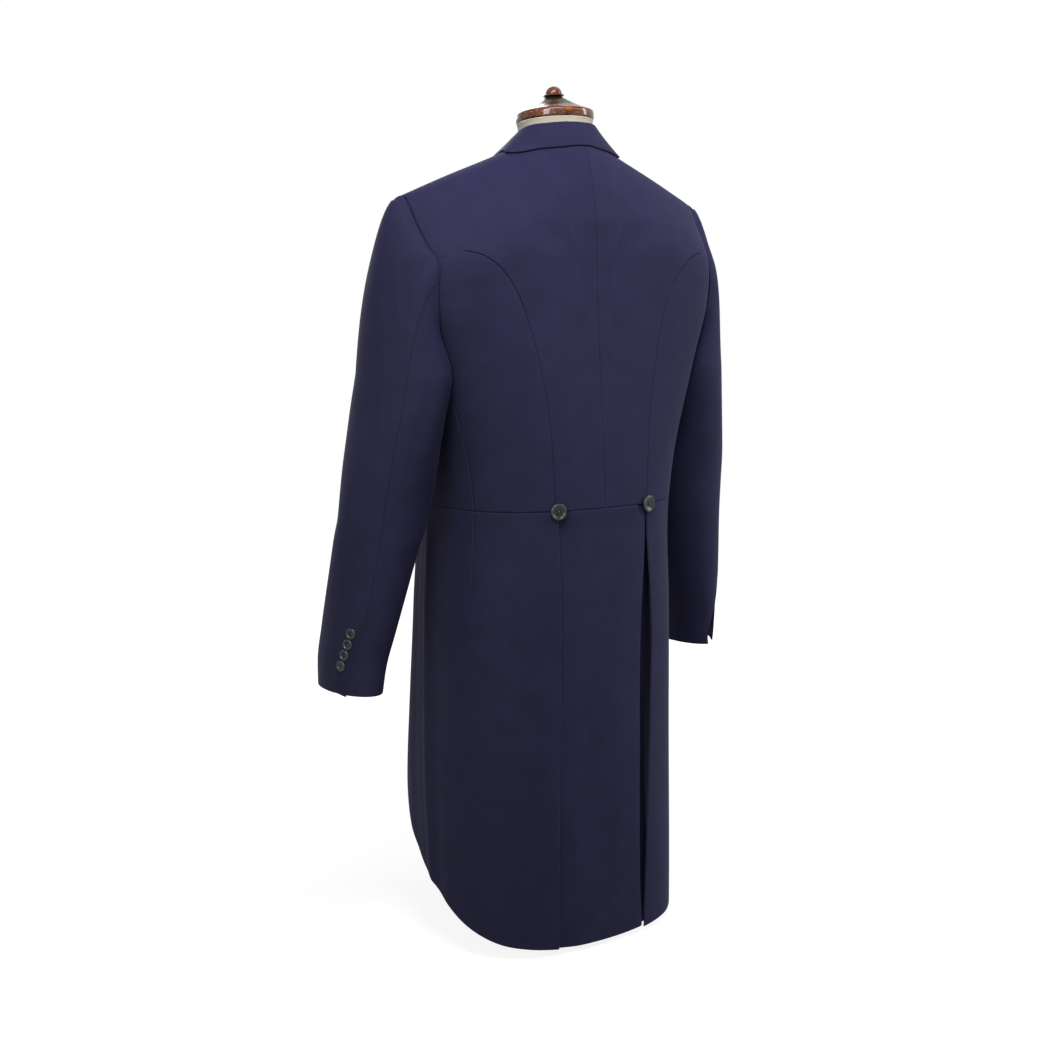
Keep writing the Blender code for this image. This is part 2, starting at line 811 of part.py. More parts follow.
places = np.arange(ARMHOLE_PLACES + 1)
armhole = joined_runs(armhole_high[::-1], armhole_low[::-1], armhole_front)
armhole_points = torso_point(armhole[:, 0], armhole[:, 1])
upper_share = (0.5 + 0.5 * np.cos(places * 2 * math.pi / ARMHOLE_PLACES))[:, None] ** CROWN_SHARPNESS
armhole_points += (1 - upper_share) * ARMHOLE_LIFT * torso_normal(armhole[:, 0], armhole[:, 1])
armhole_points[:, 0] += SEAM_GAP
biceps = sleeve_point(places, BICEPS)
drop = armhole_points[:, 2:] - biceps[:, 2:]
leaving = CROWN_SPREAD * upper_share + LOW_SPREAD * (1 - upper_share)
arriving = drop * ARRIVING
crown = []
for part in np.linspace(0, 1, CROWN_ROWS + 1)[:-1]:
    row = (1 + 2 * part) * (1 - part) ** 2 * armhole_points + part * (1 - part) ** 2 * leaving
    row += part**2 * (3 - 2 * part) * biceps + part**2 * (part - 1) * arriving
    if part > 0:
        row = pressed(row, ARMHOLE_GAP + (BODY_GAP - ARMHOLE_GAP) * part, SLEEVE_SOFTNESS * part)
    crown.append(row)
tube_heights = np.linspace(BICEPS, CUFF, TUBE_ROWS + 1)
tube = sleeve_point(places[None], tube_heights[:, None])
sleeve = np.concatenate([crown, tube])
ring = sleeve[:, :-1]
around = np.roll(ring, -1, 1) - np.roll(ring, 1, 1)
sleeve_normals = unit(np.cross(np.gradient(ring, axis=0), around))
sleeve_normals *= np.sign(sleeve_normals[-1, 0, 0])
armhole_normals = torso_normal(armhole[:-1, 0], armhole[:-1, 1])
sleeve_normals[0] = unit(sleeve_normals[0] * (1 - upper_share[:-1]) + armhole_normals * upper_share[:-1])
lift_rows = vent_lift(places[None, :-1], tube_heights[:, None])
lifted = ring.copy()
lifted[CROWN_ROWS:] += lift_rows[..., None] * sleeve_normals[CROWN_ROWS:]
lifted[-1, HIND_SEAM, 2] -= VENT_DROP
upper = np.arange(FOREARM_SEAM, ARMHOLE_PLACES + HIND_SEAM + 1) % ARMHOLE_PLACES
under = np.arange(HIND_SEAM, FOREARM_SEAM + 1)

vent_share = ease((VENT_TOP - tube_heights) / VENT_HEIGHT)[:, None]
from_forearm = (FOREARM_SEAM - under) / (FOREARM_SEAM - HIND_SEAM)
for (side, opening), word in zip(VENT_OPENINGS, ("left", "right")):
    cloth_wall(f"sleeve_{word}_upper", lifted[::-1, upper], sleeve_normals[::-1, upper], side)
    vented = ring[:, under].copy()
    vented[CROWN_ROWS:] = sleeve_point(under + opening * vent_share * from_forearm**2, tube_heights[:, None])
    cloth_wall(f"sleeve_{word}_under", vented[::-1], sleeve_normals[::-1, under], side)

# Side skirts, cut away in front, and the middle back skirt folded in under them

skirt_rows, skirt_cells, back_skirt_rows = 14, 16, 12


def grid_normals(points):
    normals = unit(np.cross(np.gradient(points, axis=1), np.gradient(points, axis=0)))
    return normals * np.sign(normals[0, 0, 1])


for column, side, word in ((0, 1, "left"), (1, -1, "right")):
    across = np.linspace(0, 1, skirt_cells + 1)[None]
    down = np.linspace(0, 1, skirt_rows + 1)[:, None]
    back_turn = place_at(SKIRT_EDGES[2][1], SKIRT_EDGES[2][0])[0]
    turns = back_turn + (HEM[-1][0] - back_turn) * across
    foot = smooth_rows(HEM, turns)[..., column]
    heights = foot + (WAIST - foot) * down
    edge_xs = smooth_rows(SKIRT_EDGES, heights[:, 0])[:, column]
    edge_turns = place_at(edge_xs, heights[:, 0])[:, 0]
    turns = turns + (edge_turns[:, None] - back_turn) * (1 - across) ** 3
    skirt_places = np.stack([turns, heights], -1)
    torso_sheet(f"skirt_{word}", skirt_places, side, lapped(skirt_places, side))

folds = np.array(BACK_SKIRT_FOLDS, float)
rise = np.linspace(0, 1, back_skirt_rows + 1)[:, None]
foot = SKIRT_BACK_FOOT + 4 * (np.abs(folds[:, 0]) / 96) ** 2
heights = foot + (WAIST - foot) * rise
opening = smooth_rows(PLEAT_OPENING, heights)[..., 0]
back_places_low = place_at(folds[:, 0] + folds[:, 3] * (1 - opening), heights)
turn, level = back_places_low[..., 0], back_places_low[..., 1]
inward = folds[:, 1] + folds[:, 2] * opening
signed_turn = np.where(turn > 180, turn - 360, turn)
skirt_points = torso_point(signed_turn, level) - inward[..., None] * torso_normal(signed_turn, level)
skirt_points = skirt_points[:, ::-1]
cloth_wall("skirt_back", skirt_points, grid_normals(skirt_points))

# The collar: its stand rises from the neckline, rolls over and falls back on the coat

collar_cells = 15
roll_cells = 4
fall_cells = 3


def above_coat(x, y, out):
    """The point over the coat's shoulders at x and y, moved out by a distance."""
    found = above_shoulder(x, y)
    point, normal = torso_point(found[..., 0], found[..., 1]), torso_normal(found[..., 0], found[..., 1])
    height = point[..., 2] + out / np.maximum(normal[..., 2], LEAST_UPRIGHT)
    return np.stack([np.broadcast_to(x, height.shape), np.broadcast_to(y, height.shape), height], -1)


collar_values = smooth_rows(COLLAR_ROWS, np.linspace(0, COLLAR_ROWS[-1][0], collar_cells + 1))
fold = collar_values[:, :3]
foot = above_coat(collar_values[:, 3], collar_values[:, 4], COLLAR_FOOT_GAP)
edge = above_coat(collar_values[:, 5], collar_values[:, 6], LAPEL_GAP + COLLAR_CLOTH)
outward = unit((edge - foot) * (1, 1, 0))
upright = np.array([0, 0, 1.0])


def turned_left(start, end):
    """The direction square to a line in a section's own upright plane, on its outer side."""
    run = end - start
    along, up = np.sum(run * outward, -1, keepdims=True), run[:, 2:]
    return unit(along * upright - up * outward)


stand_side, fall_side = turned_left(foot, fold), turned_left(fold, edge)
section = [foot, (foot + fold) / 2 + 0.6 * FOLD_RADIUS * stand_side]
start_angle = np.arctan2(stand_side[:, 2:], np.sum(stand_side * outward, -1, keepdims=True))
end_angle = np.arctan2(fall_side[:, 2:], np.sum(fall_side * outward, -1, keepdims=True))
start_angle = np.where(start_angle < 0, start_angle + 2 * math.pi, start_angle)
for part in np.linspace(0, 1, roll_cells):
    angle = start_angle + (end_angle - start_angle) * part
    section.append(fold + FOLD_RADIUS * (np.cos(angle) * outward + np.sin(angle) * upright))
fall_start = section[-1]
for part in np.linspace(0, 1, fall_cells + 1)[1:]:
    fall = fall_start + (edge - fall_start) * part
    least = above_coat(fall[:, 0], fall[:, 1], LAPEL_GAP + COLLAR_CLOTH)
    fall[:, 2] = np.maximum(fall[:, 2], least[:, 2])
    section.append(fall)
half_collar = np.stack(section)
whole_collar = np.concatenate([half_collar[:, :0:-1] * (-1, 1, 1), half_collar], 1)
collar_normals = unit(np.cross(np.gradient(whole_collar, axis=0), np.gradient(whole_collar, axis=1)))
collar_normals *= np.sign(collar_normals[-1, collar_cells, 1])
cloth_wall("collar", whole_collar, collar_normals, 1, COLLAR_CLOTH)

# Buttons of dark horn, with a raised rim


def button(name, radius, point, normal, side):
    profile = [(share * radius, height * radius / BACK_BUTTON_RADIUS) for share, height in BUTTON_PROFILE]
    made = turned(name, profile, 14, horn)
    set_upright_on(made, point + BUTTON_GAP * normal, normal, side)


def cuff_outside(place, height):
    """The lapped cuff's outer face and its outward direction at a place."""
    across = sleeve_point(place + 0.2, height) - sleeve_point(place - 0.2, height)
    along = sleeve_point(place, height + 2) - sleeve_point(place, height - 2)
    normal = unit(np.cross(across, along))
    return sleeve_point(place, height) + vent_lift(place, height) * normal, normal


front_button = place_at(*FRONT_BUTTON, True)
for (side, x), word in zip(BACK_BUTTONS, ("left", "right")):
    back_button = place_at(x, WAIST)
    normal = torso_normal(back_button[0], back_button[1])
    button(f"back_button_{word}", BACK_BUTTON_RADIUS, torso_point(*back_button), normal, side)
    for number, height, left_place, right_place in CUFF_BUTTONS:
        point, normal = cuff_outside(left_place if side > 0 else right_place, height)
        button(f"cuff_button_{word}_{number}", CUFF_BUTTON_RADIUS, point, normal, side)
normal = torso_normal(front_button[0], front_button[1])
button("front_button", FRONT_BUTTON_RADIUS, torso_point(*front_button) + LAP * normal, normal, 1)

# The dress form the coat rests on: padded torso and neck, cap, pole and base

form_turns = np.arange(-90, 270, 12.0)
form_levels = np.concatenate([
    np.linspace(FORM_FOOT, ROUND, 13), np.linspace(ROUND, TOP_LEVEL - FORM_TOP_GAP, 9)[1:]
])


def lofted(name, rings, finish):
    """A closed body through rings of points, its two ends closed flat."""
    count = rings.shape[1]
    number = np.arange(rings.shape[0] * count).reshape(rings.shape[:2])
    faces = [(number[r, c], number[r, (c + 1) % count], number[r + 1, (c + 1) % count], number[r + 1, c])
             for r in range(len(rings) - 1) for c in range(count)]
    faces += [tuple(number[0, ::-1]), tuple(number[-1])]
    return add_object(name, mesh_of(name, rings.reshape(-1, 3), faces), finish)


inset = smooth_rows(FORM_INSETS, form_levels)
form_rings = torso_point(form_turns[None], form_levels[:, None])
form_rings -= inset[:, None] * torso_normal(form_turns[None], form_levels[:, None])
form_rings[0, :, 2] = FORM_FOOT
form = lofted("form_torso", form_rings, linen)
form.data.flip_normals()
turns_round = np.radians(np.arange(0, 360, 10))
neck_rings = []
for height, radius, share in NECK_RINGS:
    y = radius * np.sin(turns_round)
    tilted = height + share * math.tan(CAP_TILT) * y
    neck_rings.append(np.stack([radius * np.cos(turns_round), y, tilted], -1))
neck = lofted("form_neck", np.array(neck_rings), linen)
cutters = bpy.data.collections.new("helpers")
bpy.context.scene.collection.children.link(cutters)
coat.objects.unlink(neck)
cutters.objects.link(neck)
neck.hide_render = True
neck.display_type = "WIRE"
join = form.modifiers.new("Neck", "BOOLEAN")
join.operation = "UNION"
join.solver = "EXACT"
join.object = neck

for name, profile, steps, finish in (
    ("neck_cap", CAP_PROFILE, 40, walnut),
    ("cap_cone", CONE_PROFILE, 28, lacquer),
    ("cap_knob", KNOB_PROFILE, 20, walnut),
):
    made = turned(name, profile, steps, finish)
    made.location = np.array([0, 0, CAP_FOOT + 0.6]) * MM
    made.rotation_euler = (CAP_TILT, 0, 0)
turned("pole", POLE_PROFILE, 24, steel)
turned("stand_base", BASE_PROFILE, 48, steel)
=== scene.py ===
"""The looks of a one-button morning coat on a dress form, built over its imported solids.

+Z is up, the wearer's front faces -Y and the wearer's left is +X. Sizes are in millimetres until a mesh is
made, where MM turns them into metres.
"""

import math

import bmesh
import bpy
import numpy as np
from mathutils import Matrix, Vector


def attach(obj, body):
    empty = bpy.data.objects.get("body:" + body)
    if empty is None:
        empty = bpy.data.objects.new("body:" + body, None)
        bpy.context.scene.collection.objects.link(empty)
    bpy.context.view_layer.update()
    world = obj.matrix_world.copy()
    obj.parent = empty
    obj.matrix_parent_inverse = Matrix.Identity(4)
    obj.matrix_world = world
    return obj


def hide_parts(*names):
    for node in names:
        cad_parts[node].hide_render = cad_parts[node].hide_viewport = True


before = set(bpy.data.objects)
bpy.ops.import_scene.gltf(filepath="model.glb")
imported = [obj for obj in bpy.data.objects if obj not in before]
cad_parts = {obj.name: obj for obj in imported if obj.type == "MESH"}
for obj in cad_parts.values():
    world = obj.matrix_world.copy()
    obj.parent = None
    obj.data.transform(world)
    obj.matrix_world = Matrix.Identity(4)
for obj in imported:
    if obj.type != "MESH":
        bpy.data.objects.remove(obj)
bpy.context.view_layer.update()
MM = 0.001

# The stand: a flat round base of brushed steel and a straight steel pole that is screwed into it. It holds
# the form at its height and shows only from below and in front.


def linear(hex_colour):
    """An sRGB hex colour as the linear values that a shader takes."""
    parts = [int(hex_colour[place:place + 2], 16) / 255 for place in (1, 3, 5)]
    return (*(part / 12.92 if part < 0.04045 else ((part + 0.055) / 1.055) ** 2.4 for part in parts), 1)


def finish(name, **values):
    """A material, with constants set on its shader. Gives the material, its tree and the shader."""
    made = bpy.data.materials.new(name)
    made.use_nodes = True
    shader = made.node_tree.nodes["Principled BSDF"]
    for key, value in values.items():
        shader.inputs[key.replace("_", " ")].default_value = value
    return made, made.node_tree, shader


def add(tree, kind, inputs=None, out=0, **settings):
    """Adds a node, with its settings, and gives each input a value or a link. Gives one of its outputs."""
    made = tree.nodes.new("ShaderNode" + kind)
    for key, value in settings.items():
        setattr(made, key, value)
    for key, value in (inputs or {}).items():
        if isinstance(value, bpy.types.NodeSocket):
            tree.links.new(value, made.inputs[key])
        else:
            made.inputs[key].default_value = value
    return made.outputs[out]


def raised(tree, height, strength, depth):
    """A bump by a pattern, with its depth in metres."""
    return add(tree, "Bump", {"Height": height, "Strength": strength, "Distance": depth})


def wire(shader, **outputs):
    """Links outputs of nodes to the shader."""
    for key, output in outputs.items():
        shader.id_data.links.new(output, shader.inputs[key.replace("_", " ")])


def shown(name, data):
    made = bpy.data.objects.new(name, data)
    bpy.context.scene.collection.objects.link(made)
    return made


def placed(name, mesh, material, node):
    """Puts a piece in the scene in place of its solid, with the slot it takes its finish from."""
    if not mesh.materials:
        mesh.materials.append(material)
    made = shown(name, mesh)
    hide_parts(node)
    return made


def mesh_of(name, points, faces, sharp=40):
    mesh = bpy.data.meshes.new(name)
    mesh.from_pydata((np.asarray(points) * MM).tolist(), [], faces)
    mesh.shade_smooth()
    mesh.set_sharp_from_angle(angle=math.radians(sharp))
    return mesh


def turned(name, profile, steps, places=((0, 0),)):
    """A closed body round each place, from a profile of (radius, height) down its outer side."""
    profile = np.array(profile, float)
    angles = np.arange(steps) * 2 * math.pi / steps
    rings = profile[1:-1]
    x, y = rings[:, :1] * np.cos(angles), rings[:, :1] * np.sin(angles)
    points = np.stack([x, y, np.broadcast_to(rings[:, 1:], x.shape)], -1).reshape(-1, 3)
    points = np.concatenate([points, [(0, 0, profile[0, 1]), (0, 0, profile[-1, 1])]])
    number = np.arange(x.size).reshape(x.shape)
    beside = np.roll(number, -1, 1)
    faces = np.stack([number[:-1], number[1:], beside[1:], beside[:-1]], -1).reshape(-1, 4).tolist()
    faces += [(x.size, a, b) for a, b in zip(number[0].tolist(), beside[0].tolist())]
    faces += [(x.size + 1, b, a) for a, b in zip(number[-1].tolist(), beside[-1].tolist())]
    bodies = np.concatenate([points + (*place, 0) for place in places])
    starts = range(0, len(bodies), len(points))
    return mesh_of(name, bodies, [[start + corner for corner in face] for start in starts for face in faces])


# Brushed steel: fine turning marks blur what it mirrors into a soft grey gleam.
steel, tree, shader = finish("brushed_steel", Metallic=1.0, Roughness=0.34, Base_Color=linear("#a3a5a8"))
seen = add(tree, "TexCoord", out="Object")
marks = add(tree, "Mapping", {"Vector": seen, "Scale": (60, 60, 2500)})
brushing = add(tree, "TexNoise", {"Vector": marks, "Scale": 1.0, "Detail": 3.0})
rough = add(tree, "MapRange", {"Value": brushing, "To Min": 0.26, "To Max": 0.44})
wire(shader, Roughness=rough, Normal=raised(tree, brushing, 0.15, 0.0002))

BASE_PROFILE = [
    # radius, height
    (0, 12), (50, 12), (79, 12), (81.4, 11.5), (83.2, 10.2), (84, 8.4), (84, 1.6), (83.5, 0.5), (82.4, 0),
    (0, 0),
]
POLE_PROFILE = [
    # radius, height
    (0, 431.7), (13.4, 431.7), (14, 431.1), (14, 13), (13.4, 12.3), (0, 12.3),
]
for node, name, profile, steps in (
    ("stand_base", "base_disc", BASE_PROFILE, 96),
    ("pole", "pole_tube", POLE_PROFILE, 48),
):
    made = placed(name, turned(name, profile, steps), steel, node)
    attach(made, "root")

# The form: a padded torso without arms or legs, covered in plain ecru linen that is stretched smooth, with
# a short neck. The coat rests on its shoulders, and only its neck and the top of its chest show.

FORM_FOOT = 432.0
FOOT_ROUNDING = 1.5
FOOT_RISE = 6.0
WAIST = 571.0
RIDGE = 1045.0
ROUND = 890.0
DOME = RIDGE - ROUND
FALL_START = 790.0
SHOULDER_FALL = 0.4
SHOULDER_LEAN = 23.0
NECK_DIP = 5.8
NECK_DIP_WIDTH = 45.0
BACK_CLOSE_POWER = 2.3
FRONT_CLOSE_POWER = 1.9
SHOULDER_TIP_X = 218.0
NECK_POINT_X = 60.0
TOP_LEVEL = ROUND + DOME * math.pi / 2
FORM_TOP_LEVEL = TOP_LEVEL - 8
CAP_TILT = math.radians(5.3)
CAP_FOOT = 1047.6
TORSO_RINGS = [
    # height, half_width, back_y, widest_y, front_y, back_square, front_square
    (0, 171, 113, -22, -178, 2.6, 3.0),
    (200, 169, 113, -23, -174, 2.6, 3.0),
    (306, 166, 112.5, -22, -167, 2.6, 3.0),
    (430, 163, 112, -20, -158, 2.6, 3.0),
    (571, 161, 111, -19, -151, 2.6, 3.0),
    (648, 171, 107, -21, -153, 2.9, 2.8),
    (705, 183, 102, -22, -157, 3.4, 2.7),
    (760, 198, 98, -21, -160, 3.7, 2.6),
    (815, 214, 94, -17, -160, 4.0, 2.6),
    (905, 219, 90, -3, -145, 4.0, 2.6),
    (1045, 223, 88, 14, -108, 3.6, 2.5),
]


def between(start, leaving, end, arriving, part):
    """A smooth curve between two ends, with the rates at which it leaves the one and arrives at the other."""
    near = (start * (1 + 2 * part) + leaving * part) * (1 - part) ** 2
    return near + (end * (3 - 2 * part) + arriving * (part - 1)) * part**2


def smooth_rows(rows, at):
    """Reads every column of a table along its first column, on one smooth curve."""
    rows, at = np.array(rows, float), np.asarray(at, float)
    along, values = rows[:, 0], rows[:, 1:]
    slope = np.gradient(values, along, axis=0)
    row = np.clip(np.searchsorted(along, at) - 1, 0, len(along) - 2)
    width = (along[row + 1] - along[row])[..., None]
    part = (at - along[row])[..., None] / width
    return between(values[row], slope[row] * width, values[row + 1], slope[row + 1] * width, part)


def ease(part):
    part = np.clip(part, 0, 1)
    return part * part * (3 - 2 * part)


def unit(vectors):
    return vectors / np.maximum(np.linalg.norm(vectors, axis=-1, keepdims=True), 1e-9)


def ring_sizes(height):
    return np.moveaxis(smooth_rows(TORSO_RINGS, height), -1, 0)


def shoulder_fall(x, height):
    """How far a ring at that height has dropped there, to follow the shoulder's slope."""
    x = np.abs(x)
    slope = SHOULDER_FALL * x + NECK_DIP * (1 - np.exp(-((x / NECK_DIP_WIDTH) ** 2)))
    return slope * ease((height - FALL_START) / (RIDGE - FALL_START))


def shoulder_lean(x, height):
    """How far forward the shoulder's top sits, growing towards its tip."""
    part = np.minimum(np.abs(x) / SHOULDER_TIP_X, 1)
    return SHOULDER_LEAN * part**1.3 * ease((height - ROUND) / DOME)


def level_of(height):
    """A level runs as the height does, and bends over the shoulder so that rows stay evenly apart."""
    part = np.clip((np.asarray(height, float) - ROUND) / DOME, 0, 1)
    return np.where(part > 0, ROUND + DOME * np.arcsin(part), height)


def half_ring(from_middle, sizes):
    """How square, how deep and how round a ring is, behind its widest line or before it."""
    behind = from_middle > 0
    back_y, widest_y, front_y, back_square, front_square = sizes[1:]
    square = np.where(behind, back_square, front_square)
    depth = np.where(behind, back_y - widest_y, widest_y - front_y)
    return square, depth, np.where(behind, BACK_CLOSE_POWER, FRONT_CLOSE_POWER)


def torso_point(places):
    """The coat's outer face at (turn, level) places. A turn is in degrees, from centre back to the left."""
    turn, level = np.radians(places[..., 0]), places[..., 1]
    bend = np.clip((level - ROUND) / DOME, 0, math.pi / 2)
    height = np.where(bend > 0, ROUND + DOME * np.sin(bend), level)
    sizes = ring_sizes(height)
    square, depth, power = half_ring(np.cos(turn), sizes)
    reach = (np.abs(np.sin(turn)) ** square + np.abs(np.cos(turn)) ** square) ** (-1 / square)
    closing = (1 - np.sin(bend) ** power).clip(0) ** (1 / power)
    x = sizes[0] * np.sin(turn) * reach
    y = sizes[2] + depth * closing * np.cos(turn) * reach - shoulder_lean(x, height)
    return np.stack([x, y, height - shoulder_fall(x, height)], -1)


def torso_normal(places):
    turn_step, level_step = np.array([0.1, 0]), np.array([0, 0.2])
    higher = np.stack([places[..., 0], np.minimum(places[..., 1] + level_step[1], TOP_LEVEL)], -1)
    climb = torso_point(higher) - torso_point(higher - 2 * level_step)
    return unit(np.cross(climb, torso_point(places + turn_step) - torso_point(places - turn_step)))


FORM_INSETS = [
    # level, inset
    (432, 27), (540, 25), (600, 12), (700, 9), (880, 7.5), (1135, 7.9),
]
NECK_RINGS = [
    # height, radius, share of the cap's tilt
    (975, 50, 0), (1000, 46.8, 0), (1012, 46.4, 0), (1038, 46.4, 0.6), (1044.5, 47.4, 1), (1046.4, 48.2, 1),
    (1047.2, 47.6, 1),
]


def lofted(name, rings, turned_in=False):
    """A closed body through rings of points, its two ends closed flat."""
    number = np.arange(rings[..., 0].size).reshape(rings.shape[:2])
    beside = np.roll(number, -1, 1)
    faces = np.stack([number[:-1], beside[:-1], beside[1:], number[1:]], -1).reshape(-1, 4).tolist()
    faces += [number[0, ::-1].tolist(), number[-1].tolist()]
    return mesh_of(name, rings.reshape(-1, 3), [face[::-1] for face in faces] if turned_in else faces, 60)


def boolean(kind, mesh, other):
    """The mesh that the union or the difference of two closed meshes leaves."""
    pair = [shown("part", part) for part in (mesh, other)]
    step = pair[0].modifiers.new(kind, "BOOLEAN")
    step.operation, step.solver, step.object = kind, "EXACT", pair[1]
    made = bpy.data.meshes.new_from_object(pair[0].evaluated_get(bpy.context.evaluated_depsgraph_get()))
    for part in pair:
        bpy.data.objects.remove(part)
    return made


def blended(tree, share, one, other):
    """A blend of two hex colours, by a share from a pattern."""
    return add(tree, "Mix", {0: share, 6: linear(one), 7: linear(other)}, 2, data_type="RGBA")


form_turns = np.arange(-90, 270, 3.0)
foot_levels = [FORM_FOOT, FORM_FOOT + FOOT_ROUNDING]
form_levels = np.concatenate([
    foot_levels, np.linspace(FORM_FOOT + FOOT_RISE, ROUND, 60), np.linspace(ROUND, FORM_TOP_LEVEL, 36)[1:]])
inset = FOOT_ROUNDING * (1 - ease((form_levels - FORM_FOOT) / FOOT_RISE))[:, None]
inset += smooth_rows(FORM_INSETS, form_levels)
form_places = np.stack(np.meshgrid(form_turns, form_levels), -1)
form_rings = torso_point(form_places) - inset[:, None] * torso_normal(form_places)
form_rings[0, :, 2] = FORM_FOOT
neck_turns = np.radians(np.arange(0, 360, 5))
neck_rings = []
for height, radius, share in NECK_RINGS:
    y = radius * np.sin(neck_turns)
    neck_rings.append(np.stack([radius * np.cos(neck_turns), y, height + share * math.tan(CAP_TILT) * y], -1))

# Ecru linen: plain weave of slubbed threads about 0.6 mm apart, drawn at 1.2 mm so that it shows.
linen, tree, shader = finish("ecru_linen", Roughness=0.86, Sheen_Weight=0.2, Sheen_Roughness=0.5)
seen = add(tree, "TexCoord", out="Object")
slubs = add(tree, "TexNoise", {"Vector": seen, "Scale": 90.0, "Detail": 4.0})
warp = add(tree, "TexWave", {"Vector": seen, "Scale": 260.0, "Distortion": 0.6}, "Fac")
weft = add(tree, "TexWave", {"Vector": seen, "Scale": 260.0, "Distortion": 0.6}, "Fac", bands_direction="Z")
threads = add(tree, "Math", {0: warp, 1: weft}, operation="MULTIPLY")
colour = blended(tree, slubs, "#c9bfa8", "#ded6c2")
wire(shader, Base_Color=colour, Normal=raised(tree, threads, 0.35, 0.0003))

form_mesh = boolean("UNION", lofted("form", form_rings, True), lofted("neck", np.array(neck_rings)))
form_mesh.set_sharp_from_angle(angle=math.radians(60))
torso = placed("form_linen", form_mesh, linen, "form_torso")
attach(torso, "root")

# The cap on the neck: a turned walnut disc with a shallow top, a dark lacquered cone on it and a small walnut
# knob. All three are screwed together through the middle, varnished and polished.

CAP_PROFILE = [
    # radius, height
    (0, 17.5), (33, 17.5), (36, 16), (41, 13.9), (45.6, 11.9), (47.6, 11.2), (48.8, 10.1), (49.2, 8.6),
    (49.2, 2.2), (48.8, 0.9), (47.9, 0.2), (46, 0), (0, 0),
]
CONE_PROFILE = [
    # radius, height
    (0, 30.2), (10, 30.2), (10.8, 29.8), (12.2, 29), (15, 27.3), (18.5, 25.2), (22.5, 22.9), (26.5, 20.6),
    (30.5, 18.6), (32, 18), (31.9, 17.8), (0, 17.8),
]
KNOB_PROFILE = [
    # radius, height
    (0, 44), (2.4, 43.8), (4.8, 43), (7, 41.7), (8.6, 40), (9.8, 38), (10.5, 35.8), (10.6, 34.3),
    (11.4, 33.5), (12.8, 33), (13.2, 32.3), (13, 31.6), (11.7, 31), (11, 30.6), (0, 30.5),
]


def varnished(name, dark, middle, light, coat, grain_width):
    """Polished wood: streaks of two browns, pores a little darker, under a hard clear coat."""
    made, tree, shader = finish(
        name, Roughness=0.4, Specular_IOR_Level=0.08, Coat_Weight=coat, Coat_Roughness=0.09, IOR=1.5)
    seen = add(tree, "TexCoord", out="Object")
    lengthwise = add(tree, "Mapping", {"Vector": seen, "Scale": (14, 1000 / grain_width, 1000 / grain_width)})
    figure = add(tree, "TexNoise", {
        "Vector": lengthwise, "Scale": 1.0, "Detail": 5.0, "Roughness": 0.6, "Distortion": 1.4})
    browns = add(tree, "ValToRGB", {0: figure})
    ramp = browns.node.color_ramp
    for element, position, colour in zip(ramp.elements, (0.34, 0.66), (dark, light)):
        element.position, element.color = position, linear(colour)
    ramp.elements.new(0.5).color = linear(middle)
    pores = add(tree, "TexNoise", {"Vector": lengthwise, "Scale": 6.0, "Detail": 2.0})
    darker = add(tree, "MapRange", {"Value": pores, "From Min": 0.35, "From Max": 0.6, "To Min": 0.55})
    colour = add(tree, "Mix", {0: 1.0, 6: browns, 7: darker}, 2, data_type="RGBA", blend_type="MULTIPLY")
    wire(shader, Base_Color=colour, Normal=raised(tree, pores, 0.06, 0.0002))
    return made


# Walnut under varnish: orange-brown and dark streaks with sharp white highlights. The cone is the same wood
# under a nearly black lacquer with a softer gleam.
walnut = varnished("varnished_walnut", "#261006", "#632d10", "#a8682f", 0.6, 5.0)
lacquer = varnished("dark_lacquer", "#0d0705", "#1c120b", "#302015", 0.35, 4.0)

for node, name, profile, material, slot in (
    ("neck_cap", "walnut_cap", CAP_PROFILE, walnut, "varnished_walnut"),
    ("cap_cone", "lacquered_cone", CONE_PROFILE, lacquer, "dark_lacquer"),
    ("cap_knob", "walnut_knob", KNOB_PROFILE, walnut, "varnished_walnut"),
):
    made = placed(name, turned(name, profile, 96), material, node)
    made.location = (0, 0, CAP_FOOT * MM)
    made.rotation_euler = (CAP_TILT, 0, 0)
    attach(made, "root")

# The back panels: two shaped pieces of navy worsted, joined down the centre back, from the nape to the waist
# seam. Their outer edges run in a long curve from the waist button to the armhole.

CLOTH = 1.8
SEAM_GAP = 0.44
SEAM_PART = 0.17
GRID = 4.0
EDGE_STEPS = np.array([0, 0.45, 1.0, 1.7, 2.6, 3.8])
EDGE_ROLL = 0.95
EDGE_ROLL_WIDTH = 2.0
RUN_CELLS = 240
SAMPLES = 90
CURVED_SEAM = [
    # step, x, height
    (0, 70, 571), (1, 74, 648), (2, 81, 710), (3, 99, 790), (4, 119, 842), (5, 148, 874), (6, 180, 886),
    (7, 207.5, 878),
]
ARMHOLE_TOP_BACK = [
    # step, turn, ring_height
    (0, 55.3, 909), (1, 58.5, 965), (2, 61.8, 1020), (3, 63.6, 1045),
]
NECKLINE = [
    # step, x, height
    (0, 0, 1023), (1, 22, 1017.5), (2, 41, 1016.5), (3, 52, 1017.5),
]

